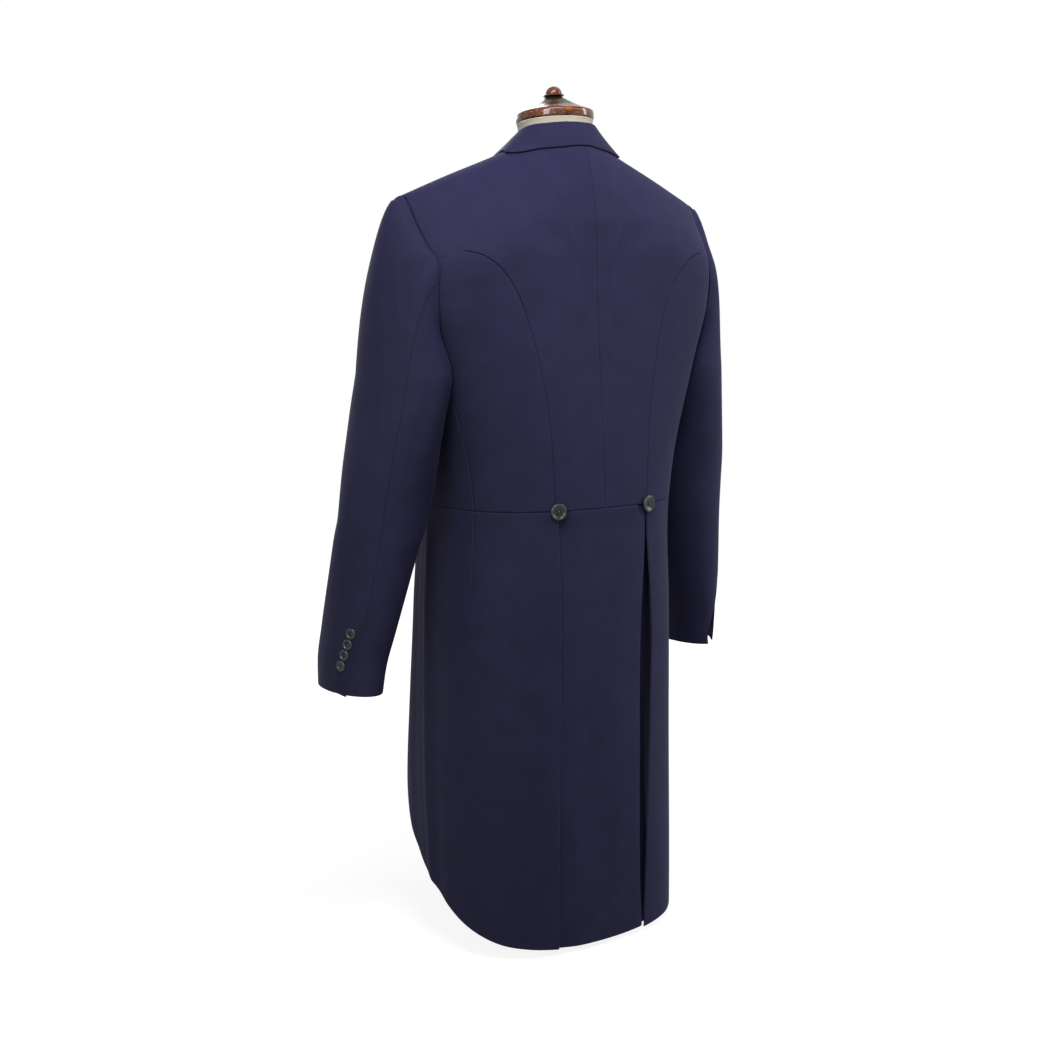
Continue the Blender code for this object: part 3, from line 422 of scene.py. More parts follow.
# How the coat hangs away from its smooth form: soft ridges, and troughs with a depth below nought. Each runs
# between two places on the back (face 1) or the front (face -1), seen square on.
TORSO_CREASES = [
    # face, x, height, end_x, end_height, width, depth
    (1, 150, 860, 40, 760, 26, -0.9),
    (1, 130, 800, 60, 690, 22, 0.8),
    (1, -140, 850, -50, 740, 26, -0.8),
    (1, 120, 640, 75, 590, 15, 0.9),
    (1, -125, 650, -80, 590, 15, 0.9),
    (1, 30, 700, 20, 590, 20, -0.6),
    (1, -35, 690, -30, 590, 18, 0.6),
    (1, 60, 560, 95, 120, 30, 1.6),
    (1, 118, 540, 128, 60, 24, -1.6),
    (1, 20, 540, 30, 40, 22, -1.2),
    (1, -30, 540, -22, 60, 24, 1.2),
    (1, -100, 540, -110, 100, 26, -1.2),
    (-1, 150, 560, 158, 120, 18, 1.5),
    (-1, 90, 820, 60, 640, 28, -1.2),
    (-1, -90, 820, -60, 640, 28, -1.2),
    (-1, 110, 660, 40, 600, 16, 1.0),
    (-1, -110, 660, -40, 600, 16, 1.0),
    (-1, 120, 540, 90, 300, 28, 1.4),
    (-1, -120, 540, -95, 300, 28, 1.4),
]
FACE_MIDDLE = -15.0
FACE_REACH = 15.0
FACE_FADING = 40.0
CREASE_ENDS = 0.3
CROSS_WAVE = 0.35
SLANTING_WAVE = 0.3


def crease(x, z, run_x, run_z, width, depth):
    """How far one soft fold from nought to (run_x, run_z) stands out at x and z."""
    length = math.hypot(run_x, run_z)
    gone, aside = (x * run_x + z * run_z) / length**2, (x * run_z - z * run_x) / length
    return depth * np.exp(-((aside / width) ** 2)) * ease(gone / CREASE_ENDS) * ease((1 - gone) / CREASE_ENDS)


def drape(points, side):
    """How far the hanging cloth stands out from its form: two faint waves all over, and the creases."""
    x, y, z = points[..., 0] * side, points[..., 1], points[..., 2]
    out = CROSS_WAVE * np.sin(x / 21 + 1.1) * np.sin(z / 47 + 0.6) + SLANTING_WAVE * np.sin(x / 33 - z / 61)
    for face, from_x, from_z, to_x, to_z, width, depth in TORSO_CREASES:
        fold = crease(x - from_x, z - from_z, to_x - from_x, to_z - from_z, width, depth)
        out += fold * ease((face * (y - FACE_MIDDLE) + FACE_REACH) / FACE_FADING)
    return out


def place_at(x, height, front=False):
    """The turn and level of the place on the back, or the front, at that x and true height."""
    x, height = np.broadcast_arrays(np.asarray(x, float), np.asarray(height, float))
    ring_height = height
    for _ in range(8):
        ring_height = np.minimum(height + shoulder_fall(x, ring_height), RIDGE)
    sizes = ring_sizes(ring_height)
    square = sizes[5] if front else sizes[4]
    wide = np.clip(x / sizes[0], -1, 1)
    deep = (1 - np.abs(wide) ** square) ** (1 / square)
    turn = np.degrees(np.arctan2(wide, -deep if front else deep)) % 360
    return np.stack([turn, level_of(ring_height)], -1)


def even_run(places, count=RUN_CELLS):
    """Spreads count + 1 places evenly along a run of places."""
    gone = np.concatenate([[0], np.cumsum(np.linalg.norm(np.diff(torso_point(places), axis=0), axis=1))])
    wanted = np.linspace(0, gone[-1], count + 1)
    return np.stack([np.interp(wanted, gone, places[:, column]) for column in (0, 1)], -1)


def table_run(rows, places_of):
    """A smooth run through a table of steps, with its two values turned into places."""
    values = smooth_rows(rows, np.linspace(rows[0][0], rows[-1][0], SAMPLES))
    return even_run(places_of(values[:, 0], values[:, 1]))


def ring_places(turn, ring_height):
    return np.stack([turn, level_of(ring_height)], -1)


def ridge_run(from_x, to_x, front):
    """Places along the shoulder seam, which lies on the ridge."""
    xs = np.linspace(from_x, to_x, RUN_CELLS + 1)
    return place_at(xs, np.full(len(xs), 2 * RIDGE), front)


def waist_run(start, end):
    return even_run(np.stack([np.linspace(start, end, SAMPLES), np.full(SAMPLES, WAIST)], -1))


def pinned(run, start=None, end=None, reach=0.2):
    """Moves the ends of a run to given places, and what lies near them less and less."""
    share = np.linspace(0, 1, len(run))[:, None]
    if start is not None:
        run = run + (start - run[0]) * np.clip(1 - share / reach, 0, 1)
    if end is not None:
        run = run + (end - run[-1]) * np.clip(1 - (1 - share) / reach, 0, 1)
    return run


def length_of(run):
    return np.linalg.norm(np.diff(torso_point(run), axis=0), axis=1).sum()


def shares(*legs):
    """Where rows or columns lie along an edge of (length, cells) legs: close together near its ends."""
    found, start = [], 0
    for number, (length, cells) in enumerate(legs):
        near = EDGE_STEPS if number == 0 else np.zeros(1)
        far = EDGE_STEPS if number == len(legs) - 1 else np.zeros(1)
        count = max(2, round((length - near[-1] - far[-1]) / GRID))
        middle = np.linspace(near[-1], length - far[-1], count + 1)
        at = np.concatenate([near[:-1], middle, length - far[-2::-1]])
        found.append(start + at / length * cells)
        start += cells
    return np.unique(np.concatenate(found).round(7)) / start


def along(legs, share):
    """The places at these shares of an edge that is made of (run, cells) legs."""
    cells = sum(leg[1] for leg in legs)
    at, start = np.asarray(share) * cells, 0
    turn, level = np.zeros_like(at), np.zeros_like(at)
    for run, count in legs:
        inside = at >= start - 1e-9
        index = (at - start) / count * (len(run) - 1)
        turn = np.where(inside, np.interp(index, np.arange(len(run)), run[:, 0]), turn)
        level = np.where(inside, np.interp(index, np.arange(len(run)), run[:, 1]), level)
        start += count
    return np.stack([turn, level], -1)


def filled(left, right, bottom, top, ruling):
    """Places between four edges of (run, cells) legs, in rows that the ruling edge spreads upwards."""
    up, across = (shares(*((length_of(run), cells) for run, cells in legs)) for legs in (ruling, top))
    left, right = along(left, up), along(right, up)
    bottom, top = along(bottom, across), along(top, across)
    up, across = up[:, None, None], across[None, :, None]
    sideways = (1 - across) * left[:, None] + across * right[:, None]
    upwards = (1 - up) * bottom[None] + up * top[None]
    low = (1 - across) * bottom[0] + across * bottom[-1]
    high = (1 - across) * top[0] + across * top[-1]
    return sideways + upwards - (1 - up) * low - up * high


def parted(points):
    """Draws the four edges of a sheet in by half a seam gap, square to each edge."""
    drawn = points.copy()
    for edge, inside in (
        (np.s_[0], np.s_[2]), (np.s_[-1], np.s_[-3]), (np.s_[:, 0], np.s_[:, 2]), (np.s_[:, -1], np.s_[:, -3])
    ):
        run = unit(np.gradient(points[edge], axis=0))
        inward = points[inside] - points[edge]
        inward -= run * np.sum(inward * run, -1, keepdims=True)
        drawn[edge] += SEAM_PART * unit(inward)
    return drawn


def cloth_piece(
    node, points, normals, side=1, thickness=CLOTH, held="stretched", rests_on=(), roll=EDGE_ROLL
):
    """A thin closed sheet of worsted from rows of points on its outer face, with its edges rolled in."""
    outer = parted(points)
    gaps_across = np.linalg.norm(np.diff(points, axis=1), axis=-1)
    gaps_up = np.linalg.norm(np.diff(points, axis=0), axis=-1)
    across = np.pad(np.cumsum(gaps_across, 1), ((0, 0), (1, 0)))
    up = np.pad(np.cumsum(gaps_up, 0), ((1, 0), (0, 0)))
    edge = np.minimum.reduce([across, across[:, -1:] - across, up, up[-1:] - up])
    inner = outer - thickness * normals
    outer = outer - (roll * (1 - edge / EDGE_ROLL_WIDTH).clip(0) ** 2)[..., None] * normals
    rows, columns = edge.shape
    under = rows * columns
    number = np.arange(under).reshape(rows, columns)
    cells = np.stack([number[:-1, :-1], number[:-1, 1:], number[1:, 1:], number[1:, :-1]], -1).reshape(-1, 4)
    rim = np.concatenate([number[0], number[1:, -1], number[-1, -2::-1], number[-2:0:-1, 0]])
    beside = np.roll(rim, -1)
    edge_faces = np.stack([beside, rim, rim + under, beside + under], -1)
    faces = np.concatenate([cells, cells[:, ::-1] + under, edge_faces])
    diagonal = np.cross(outer[-1, -1] - outer[0, 0], outer[-1, 0] - outer[0, -1])
    if np.dot(diagonal, normals[rows // 2, columns // 2]) * side < 0:
        faces = faces[:, ::-1]
    verts = np.concatenate([outer.reshape(-1, 3), inner.reshape(-1, 3)]) * np.array([side, 1, 1])
    mesh = mesh_of(node, verts, faces.tolist(), 50)
    cut = np.stack([across - across[:, columns // 2:columns // 2 + 1], up], -1).reshape(-1, 2) * MM
    corners = np.zeros(len(mesh.loops), np.int32)
    mesh.loops.foreach_get("vertex_index", corners)
    mesh.uv_layers.new(name="cut").data.foreach_set("uv", np.tile(cut, (2, 1))[corners].ravel())
    made = placed("worsted_" + node, mesh, worsted, node)
    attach(made, "root")


def torso_piece(node, places, side=1, out=0.0, **facts):
    """A piece of cloth that lies on the torso, moved out by a distance that may differ over it."""
    points, normals = torso_point(places), torso_normal(places)
    points = points + normals * (out + drape(points, side))[..., None]
    cloth_piece(node, points, normals, side, **facts)


# Navy worsted: a fine wool twill with a 0.4 mm diagonal, drawn at 0.9 mm so that it shows, pressed flat with
# hardly any nap, so it is soft and dark with a faint sheen at grazing angles.
worsted, tree, shader = finish(
    "navy_worsted", Roughness=0.78, Sheen_Weight=0.05, Sheen_Roughness=0.42, Sheen_Tint=linear("#8d8cb4"),
    Specular_IOR_Level=0.12, IOR=1.5)
cut_map = add(tree, "UVMap", uv_map="cut")
diagonal = add(tree, "Mapping", {"Vector": cut_map, "Rotation": (0, 0, math.radians(63))})
twill = add(tree, "TexWave", {"Vector": diagonal, "Scale": 350.0, "Distortion": 1.2, "Detail": 2.0}, "Fac")
threads = add(tree, "Mapping", {"Vector": cut_map, "Scale": (1400, 260, 1)})
yarn = add(tree, "TexNoise", {"Vector": threads, "Scale": 1.0, "Detail": 3.0})
cloudy = add(tree, "TexNoise", {"Vector": cut_map, "Scale": 24.0, "Detail": 3.0})
tone = add(tree, "Math", {0: yarn, 1: cloudy}, operation="ADD")
spread = add(tree, "MapRange", {"Value": tone, "From Min": 0.7, "From Max": 1.3})
weave = add(tree, "Math", {0: twill, 1: yarn}, operation="ADD")
colour = blended(tree, spread, "#21203d", "#29284a")
wire(shader, Base_Color=colour, Normal=raised(tree, weave, 0.25, 0.00012))

nape = place_at(0.0, NECKLINE[0][2])
centre_back = even_run(np.stack([np.zeros(60), np.linspace(WAIST, nape[1], 60)], -1))
curved_seam = table_run(CURVED_SEAM, place_at)
shoulder_back = ridge_run(NECK_POINT_X, SHOULDER_TIP_X, False)
armhole_high = pinned(table_run(ARMHOLE_TOP_BACK, ring_places), curved_seam[-1], shoulder_back[-1])
neck_values = smooth_rows(NECKLINE, np.linspace(0, NECKLINE[-1][0], 40))
neck_run = even_run(np.concatenate([place_at(neck_values[:, 0], neck_values[:, 1]), shoulder_back[:1]]))
back_outer = [(curved_seam, 11), (armhole_high, 4)]
back_places = filled(
    [(centre_back, 15)], back_outer, [(waist_run(0, curved_seam[0, 0]), 10)],
    [(neck_run, 4), (shoulder_back, 6)], back_outer)
SIDES = ((1, "left"), (-1, "right"))
for side, word in SIDES:
    torso_piece(f"back_{word}", back_places, side, rests_on=["form_linen"])

# The side bodies: two narrow pieces of the same worsted between the curved back seam and the underarm seam.
# They shape the waist, and their tops are sewn into the armholes.

SIDE_SEAM = [
    # height, turn
    (571, 62), (640, 61.5), (705, 63), (757, 74),
]
ARMHOLE_LOW_BACK = [
    # step, turn, ring_height
    (0, 74, 757), (1, 66, 764), (2, 59.5, 785), (3, 55.8, 818), (4, 54.8, 862), (5, 55.3, 909),
]
side_heights = np.linspace(WAIST, SIDE_SEAM[-1][0], 60)
side_seam = even_run(np.stack([smooth_rows(SIDE_SEAM, side_heights)[:, 0], side_heights], -1))
armhole_low = pinned(table_run(ARMHOLE_LOW_BACK, ring_places), side_seam[-1], curved_seam[-1])
side_back_places = filled(
    [(curved_seam, 11)], [(side_seam, 11)], [(waist_run(curved_seam[0, 0], side_seam[0, 0]), 6)],
    [(armhole_low[::-1], 6)], [(curved_seam, 11)])
for side, word in SIDES:
    torso_piece(f"side_back_{word}", side_back_places, side, rests_on=["form_linen"])

# The foreparts: the two large front pieces, from the underarm seam to the roll line. The left one laps over
# the right one round the button.

LAP = 2.7
LAP_START_TURN = 160.0
LAP_TURNS = 14.0
LAP_TOP = 680.0
LAP_FADING = 70.0
ARMHOLE_FRONT = [
    # step, turn, ring_height
    (0, 74, 757), (1, 84, 758), (2, 94, 764), (3, 103, 780), (4, 110, 806), (5, 114.5, 842), (6, 116.5, 884),
    (7, 116, 935), (8, 112.5, 995), (9, 107.8, 1045),
]
ROLL_LINE = [
    # height, x
    (571, -12), (600, -3), (640, 9), (690, 20), (780, 36), (880, 52), (960, 60), (1005, 60),
]


def lapped(places, side, out=0.0):
    """How far a forepart's place is moved out, where the left side laps over the right side."""
    turn, height = places[..., 0], np.minimum(places[..., 1], RIDGE)
    lap = ease((turn - LAP_START_TURN) / LAP_TURNS) * ease((LAP_TOP - height) / LAP_FADING)
    return out + LAP * lap * (side > 0)


shoulder_front = ridge_run(SHOULDER_TIP_X, NECK_POINT_X, True)
armhole_front = pinned(table_run(ARMHOLE_FRONT, ring_places), side_seam[-1], shoulder_front[0], 0.1)
roll_heights = np.linspace(WAIST, ROLL_LINE[-1][0], SAMPLES)
roll_values = smooth_rows(ROLL_LINE, roll_heights)[:, 0]
roll_run = even_run(np.concatenate([place_at(roll_values, roll_heights, True), shoulder_front[-1:]]))
front_outer = [(side_seam, 11), (armhole_front, 10)]
front_places = filled(
    front_outer, [(roll_run, 21)], [(waist_run(side_seam[0, 0], roll_run[0, 0]), 12)],
    [(shoulder_front, 12)], front_outer)
for side, word in SIDES:
    torso_piece(f"front_{word}", front_places, side, lapped(front_places, side), rests_on=["form_linen"])

# The lapels: peaked, turned back along the roll line and pressed so that they lie flat on the foreparts. They
# are the facing side of the same worsted.

LAPEL_GAP = 1.45
LAPEL_CLOTH = 1.6
LAPEL_INSET = 0.6
LAPEL_EDGE = [
    # step, x, height
    (0, 9, 624), (1, 37, 672), (2, 72, 745), (3, 104, 820), (4, 131, 876), (5, 152, 921),
]
LAPEL_TOP = [
    # step, x, height
    (0, 62, 969), (1, 84, 947), (2, 110, 921), (3, 152, 921),
]


def front_places_at(xs, heights):
    return place_at(xs, heights, True)


lapel_edge = table_run(LAPEL_EDGE, front_places_at)
lapel_top_values = np.array(LAPEL_TOP, float)[:, 1:]
lapel_top = even_run(front_places_at(lapel_top_values[:, 0], lapel_top_values[:, 1]))
roll_part = np.linspace(LAPEL_EDGE[0][2], LAPEL_TOP[0][2], 60)
lapel_roll = even_run(place_at(smooth_rows(ROLL_LINE, roll_part)[:, 0] + LAPEL_INSET, roll_part, True))
lapel_top = pinned(lapel_top, lapel_roll[-1], lapel_edge[-1])
lapel_foot = even_run(np.stack([lapel_roll[0], lapel_edge[0]]))
lapel_places = filled(
    [(lapel_roll, 14)], [(lapel_edge, 14)], [(lapel_foot, 6)], [(lapel_top, 6)], [(lapel_edge, 14)])
for side, word in SIDES:
    torso_piece(
        f"lapel_{word}", lapel_places, side, lapped(lapel_places, side, LAPEL_GAP + LAPEL_CLOTH),
        thickness=LAPEL_CLOTH, held="folded", rests_on=[f"worsted_front_{word}"])

# The sleeves: each is an upper and an under piece of worsted, joined by a hind seam and a forearm seam, and
# sewn into the armhole with a little fullness at its top. The hind seam opens in a short lapped vent.

SLEEVE_SECTIONS = [
    # height, middle_x, middle_y, half_across, half_deep, twist
    (346, 270.6, -57.5, 29.8, 57.8, 2),
    (380, 268.3, -56, 32.9, 57.6, 4),
    (420, 261.5, -50.4, 37.2, 57.9, 5),
    (460, 254.5, -45, 41.4, 58.1, 6),
    (500, 247.5, -40, 45.5, 58.3, 6),
    (540, 240.5, -34.8, 49.5, 58.5, 7),
    (580, 233.7, -29.3, 53, 58.7, 7),
    (620, 229, -24.2, 52.6, 63, 7),
    (660, 224.4, -20.4, 50, 68, 6),
    (700, 219.4, -17, 48, 72.5, 6),
    (740, 211.5, -13.3, 51, 74, 6),
    (780, 205, -12.7, 50.3, 77.7, 3),
]
BICEPS = 738.0
ELBOW = 500.0
CUFF = 346.0
CUFF_POWER = 2.5
CUFF_FADING = 30.0
SLEEVE_LINES = [
    # place, biceps_angle, elbow_angle, cuff_angle
    (0, 4, 2, -6),
    (5, 47, 53, 33),
    (10, 172, 176, 168),
    (13, 236, 236, 232),
    (20, 364, 362, 354),
]
HIND_SEAM = 5
FOREARM_SEAM = 13
ARMHOLE_PLACES = 20
UPPER_WIDTH = ARMHOLE_PLACES + HIND_SEAM - FOREARM_SEAM
UNDER_WIDTH = FOREARM_SEAM - HIND_SEAM
TUBE_ROWS = 12
CROWN_ROWS = 6
CROWN_LENGTH = 110.0
ARMHOLE_GAP = 0.8
ARMHOLE_LIFT = 0.6
BODY_GAP = 2.0
BODY_CLEAR = 4.0
BODY_FADING = 12.0
CROWN_FADING = 1.2
HIGHEST_BEND = 0.98
SOFTNESS = 3.0
LEAST_SOFTNESS = 0.05
CROWN_SPREAD = np.array([98.0, 0, -24])
LOW_SPREAD = np.array([12.0, 0, -6])
ARRIVING = np.array([0.1, 0.02, -1.1])
CROWN_SHARPNESS = 1.4
VENT_TOP = 447.0
VENT_LIFT = 2.1
VENT_FADING = 30.0
VENT_DROP = 3.0
VENT_TURN = 21.0
VENT_HEIGHT = 100.0
VENT_OPENINGS = {"left": 0.0, "right": 2.5}
PLACE_WIDTH = 17.0

# Soft ridges and troughs along the sleeves, between two numbered places round the sleeve and heights.
SLEEVE_CREASES = [
    # side, place, height, end_place, end_height, width, depth
    (1, 3.2, 845, 4.2, 800, 6, 0.9),
    (1, 2.6, 838, 3.4, 800, 6, -0.8),
    (1, 1.0, 760, 1.6, 420, 20, 1.5),
    (1, 4.0, 640, 4.4, 480, 16, -1.3),
    (1, 6.5, 700, 7.2, 560, 16, 1.2),
    (1, 9.0, 560, 5.6, 520, 12, -1.2),
    (-1, 1.0, 760, 1.6, 420, 20, 1.5),
    (-1, -1.4, 486, 1.2, 474, 6, -1.8),
    (-1, -1.2, 470, 1.4, 460, 6, 1.6),
    (-1, -0.8, 456, 1.2, 448, 6, -1.4),
    (-1, 6.5, 700, 7.2, 560, 16, 1.2),
    (-1, 15, 600, 19, 540, 14, 1.2),
    (1, 15, 600, 19, 540, 14, 1.2),
]


def body_side(y, z):
    """How far out the side of the torso is at that place, along X."""
    ring_height = z
    for _ in range(6):
        sizes = ring_sizes(ring_height)
        from_middle = y + shoulder_lean(SHOULDER_TIP_X, ring_height) - sizes[2]
        square, depth, power = half_ring(from_middle, sizes)
        bend = np.clip((ring_height - ROUND) / DOME, 0, HIGHEST_BEND)
        aside = np.clip(np.abs(from_middle) / (depth * (1 - bend**power) ** (1 / power)), 0, 1)
        x = sizes[0] * (1 - aside**square) ** (1 / square)
        ring_height = np.minimum(z + shoulder_fall(x, ring_height), RIDGE)
    return x


def pressed(points, gap, softness):
    """Moves points out along X where they would come nearer than the gap to the torso's side."""
    limit = body_side(points[..., 1], points[..., 2]) + gap
    moved = points.copy()
    moved[..., 0] += softness * np.logaddexp(0, (limit - points[..., 0]) / softness)
    return moved


def line_angle(place, height):
    """Where a numbered line along the sleeve crosses the section at that height."""
    angles = np.moveaxis(smooth_rows(SLEEVE_LINES, place), -1, 0)
    low = np.clip((ELBOW - height) / (ELBOW - CUFF), 0, 1) ** CUFF_POWER
    high = ease((height - ELBOW) / (BICEPS - ELBOW))
    return angles[1] + (angles[2] - angles[1]) * low + (angles[0] - angles[1]) * high


def vent_lift(place, height):
    beside = line_angle(np.full(np.shape(height), HIND_SEAM), height) - line_angle(place, height)
    return VENT_LIFT * ease((VENT_TOP - height) / VENT_FADING) * ease(1 - beside / VENT_TURN) * (beside > -1)


def sleeve_point(place, height):
    """The sleeve's outer face on a numbered line, at a section's height."""
    place, height = np.broadcast_arrays(np.asarray(place, float), np.asarray(height, float))
    middle_x, middle_y, across, deep, twist = np.moveaxis(smooth_rows(SLEEVE_SECTIONS, height), -1, 0)
    angle, twist = np.radians(line_angle(place, height)), np.radians(twist)
    along_one, along_two = across * np.cos(angle), deep * np.sin(angle)
    x = middle_x + along_one * np.cos(twist) - along_two * np.sin(twist)
    y = middle_y + along_one * np.sin(twist) + along_two * np.cos(twist)
    return pressed(np.stack([x, y, height], -1), BODY_GAP, SOFTNESS)


def upper_share(place):
    """1 at the top of the armhole and 0 at its foot."""
    return (0.5 + 0.5 * np.cos(place * 2 * math.pi / ARMHOLE_PLACES)) ** CROWN_SHARPNESS


def armhole_place(place):
    legs = [(armhole_high[::-1], 4), (armhole_low[::-1], 6), (armhole_front, 10)]
    return along(legs, (place % ARMHOLE_PLACES) / ARMHOLE_PLACES)


def sleeve_face(place, row):
    """The sleeve's outer face, by place round it and by row, from the cuff up to the armhole."""
    place, row = np.broadcast_arrays(np.asarray(place, float) % ARMHOLE_PLACES, np.asarray(row, float))
    tube = sleeve_point(place, CUFF + (BICEPS - CUFF) * np.clip(row / TUBE_ROWS, 0, 1))
    part = np.clip(1 - (row - TUBE_ROWS) / CROWN_ROWS, 0, 1)[..., None]
    share = upper_share(place)[..., None]
    sewn = armhole_place(place)
    head = torso_point(sewn) + (1 - share) * ARMHOLE_LIFT * torso_normal(sewn)
    head[..., 0] += SEAM_GAP
    biceps = sleeve_point(place, BICEPS)
    drop = head[..., 2:] - biceps[..., 2:]
    leaving = CROWN_SPREAD * share + LOW_SPREAD * (1 - share)
    crown = between(head, leaving, biceps, drop * ARRIVING, part)
    low = part[..., 0]
    gap = ARMHOLE_GAP + (BODY_GAP - ARMHOLE_GAP) * low
    held = pressed(crown, gap, np.maximum(SOFTNESS * low, LEAST_SOFTNESS))
    crown += (held - crown) * np.clip(CROWN_ROWS * part, 0, 1)
    return np.where(row[..., None] > TUBE_ROWS, crown, tube)


def sleeve_normal(place, row):
    place_step, row_step = 0.04, 0.03
    up = np.clip(row, row_step, TUBE_ROWS + CROWN_ROWS - row_step)
    climb = sleeve_face(place, up + row_step) - sleeve_face(place, up - row_step)
    around = sleeve_face(place + place_step, row) - sleeve_face(place - place_step, row)
    normal = unit(np.cross(climb, around))
    sewn = armhole_place(place % ARMHOLE_PLACES)
    share = upper_share(place)[..., None] * np.clip(row - TUBE_ROWS - CROWN_ROWS + 1, 0, 1)[..., None]
    return unit(normal * (1 - share) + torso_normal(sewn) * share)


def sleeve_drape(place, height, side):
    """How far the sleeve's cloth stands out from its smooth tube."""
    out = 0.3 * np.sin(place * 1.9 + 0.7) * np.sin(height / 37) + 0.25 * np.sin(height / 29 - place)
    for which, from_place, from_z, to_place, to_z, width, depth in SLEEVE_CREASES:
        if which == side:
            nearest = (place - from_place + ARMHOLE_PLACES / 2) % ARMHOLE_PLACES - ARMHOLE_PLACES / 2
            run = (to_place - from_place) * PLACE_WIDTH
            out = out + crease(nearest * PLACE_WIDTH, height - from_z, run, to_z - from_z, width, depth)
    return out * ease((height - CUFF) / CUFF_FADING)


sleeve_rows = shares((BICEPS - CUFF, TUBE_ROWS), (CROWN_LENGTH, CROWN_ROWS)) * (TUBE_ROWS + CROWN_ROWS)
upper_places = FOREARM_SEAM + shares((UPPER_WIDTH * PLACE_WIDTH, UPPER_WIDTH)) * UPPER_WIDTH
under_places = HIND_SEAM + shares((UNDER_WIDTH * PLACE_WIDTH, UNDER_WIDTH)) * UNDER_WIDTH
for side, word in SIDES:
    for part, places in (("upper", upper_places), ("under", under_places)):
        place, row = np.meshgrid(places, sleeve_rows)
        if part == "under":
            open_below = ease((VENT_TOP - CUFF - (BICEPS - CUFF) * row / TUBE_ROWS) / VENT_HEIGHT)
            from_forearm = (FOREARM_SEAM - place) / UNDER_WIDTH
            place = place + VENT_OPENINGS[word] * open_below * from_forearm**2
        points, normals = sleeve_face(place, row), sleeve_normal(place, row)
        round_place = place % ARMHOLE_PLACES
        height = points[..., 2]
        free = ease((points[..., 0] - body_side(points[..., 1], height) - BODY_CLEAR) / BODY_FADING)
        below_crown = ease((TUBE_ROWS + CROWN_ROWS - row) / CROWN_FADING)
        out = sleeve_drape(round_place, height, side) * below_crown * free
        if part == "upper":
            out = out + vent_lift(round_place, height) * (row <= TUBE_ROWS)
            beside_vent = np.clip(place - ARMHOLE_PLACES - HIND_SEAM + 1, 0, 1)
            points[..., 2] -= VENT_DROP * np.clip(1 - row, 0, 1) * beside_vent
        points = points + out[..., None] * normals
        cloth_piece(
            f"sleeve_{word}_{part}", points, normals, side, held="hung",
            rests_on=[f"worsted_back_{word}", f"worsted_front_{word}"])

# The side skirts: sewn to the waist seam, with a short dart below the side seam, and cut away in one curve to
# the front. Their back edges are pressed folds that lie over the middle skirt.

HEM = [
    # turn, left_height, right_height
    (20, 9, 8.5), (34, 14, 11), (45, 20.5, 13), (56, 32, 22), (73, 54, 48), (92, 82, 81), (106, 111, 111),
    (116, 143, 143), (123, 186, 186), (131, 246, 246), (140, 322, 322), (150, 402, 402), (161, 476, 476),
    (170, 525, 525), (178.5, 556, 556),
]
SKIRT_EDGES = [
    # height, left_x, right_x
    (0, 64.5, 72.5), (150, 64.5, 76), (300, 63.5, 82), (400, 63.5, 83.5), (470, 63.5, 78), (525, 65, 72),
    (571, 66.5, 69.5),
]

# Long folds that hang from the waist seam and swing back towards the hem: a ridge, or a trough below nought.
SKIRT_FOLDS = [
    # side, turn, hem_turn, width, depth
    (1, 104, 89, 2.6, 2.4),
    (1, 96, 82, 4.0, -1.2),
    (1, 116, 103, 5.0, -1.6),
    (-1, 100, 91, 3.0, 1.5),
    (-1, 88, 80, 4.0, -1.2),
]
SKIRT_FOLD_SWING = 1.6
DART_TURN = 62.4
DART_DRIFT = 1.9
DART_FOOT = 446.0
DART_REACH = 0.15
DART_DEPTH = 0.75
DART_HALF_WIDTH = 1.9
DART_FADING = 12.0
DART_CLEAR = 0.8
DIMPLE_DEPTH = 0.8
DIMPLE_WIDTH = 5.0
DIMPLE_HEIGHT = 6.0
DIMPLE_DROP = 4.0
DART_STEPS = np.array([-2.6, -1.7, -1.0, -0.45, 0, 0.45, 1.0, 1.7, 2.6])
ROUND_SKIRT = 390.0
SKIRT_LENGTH = 560.0


def skirt_folds(turn, height, side):
    """How far the side skirt's long folds stand out at a place."""
    down = np.clip((WAIST - height) / WAIST, 0, 1)
    out = np.zeros(np.shape(turn))
    for which, from_turn, hem_turn, width, depth in SKIRT_FOLDS:
        middle = from_turn + (hem_turn - from_turn) * down**SKIRT_FOLD_SWING
        out += depth * np.exp(-(((turn - middle) / width) ** 2)) * (which == side)
    return out * ease((WAIST - height) / 70)


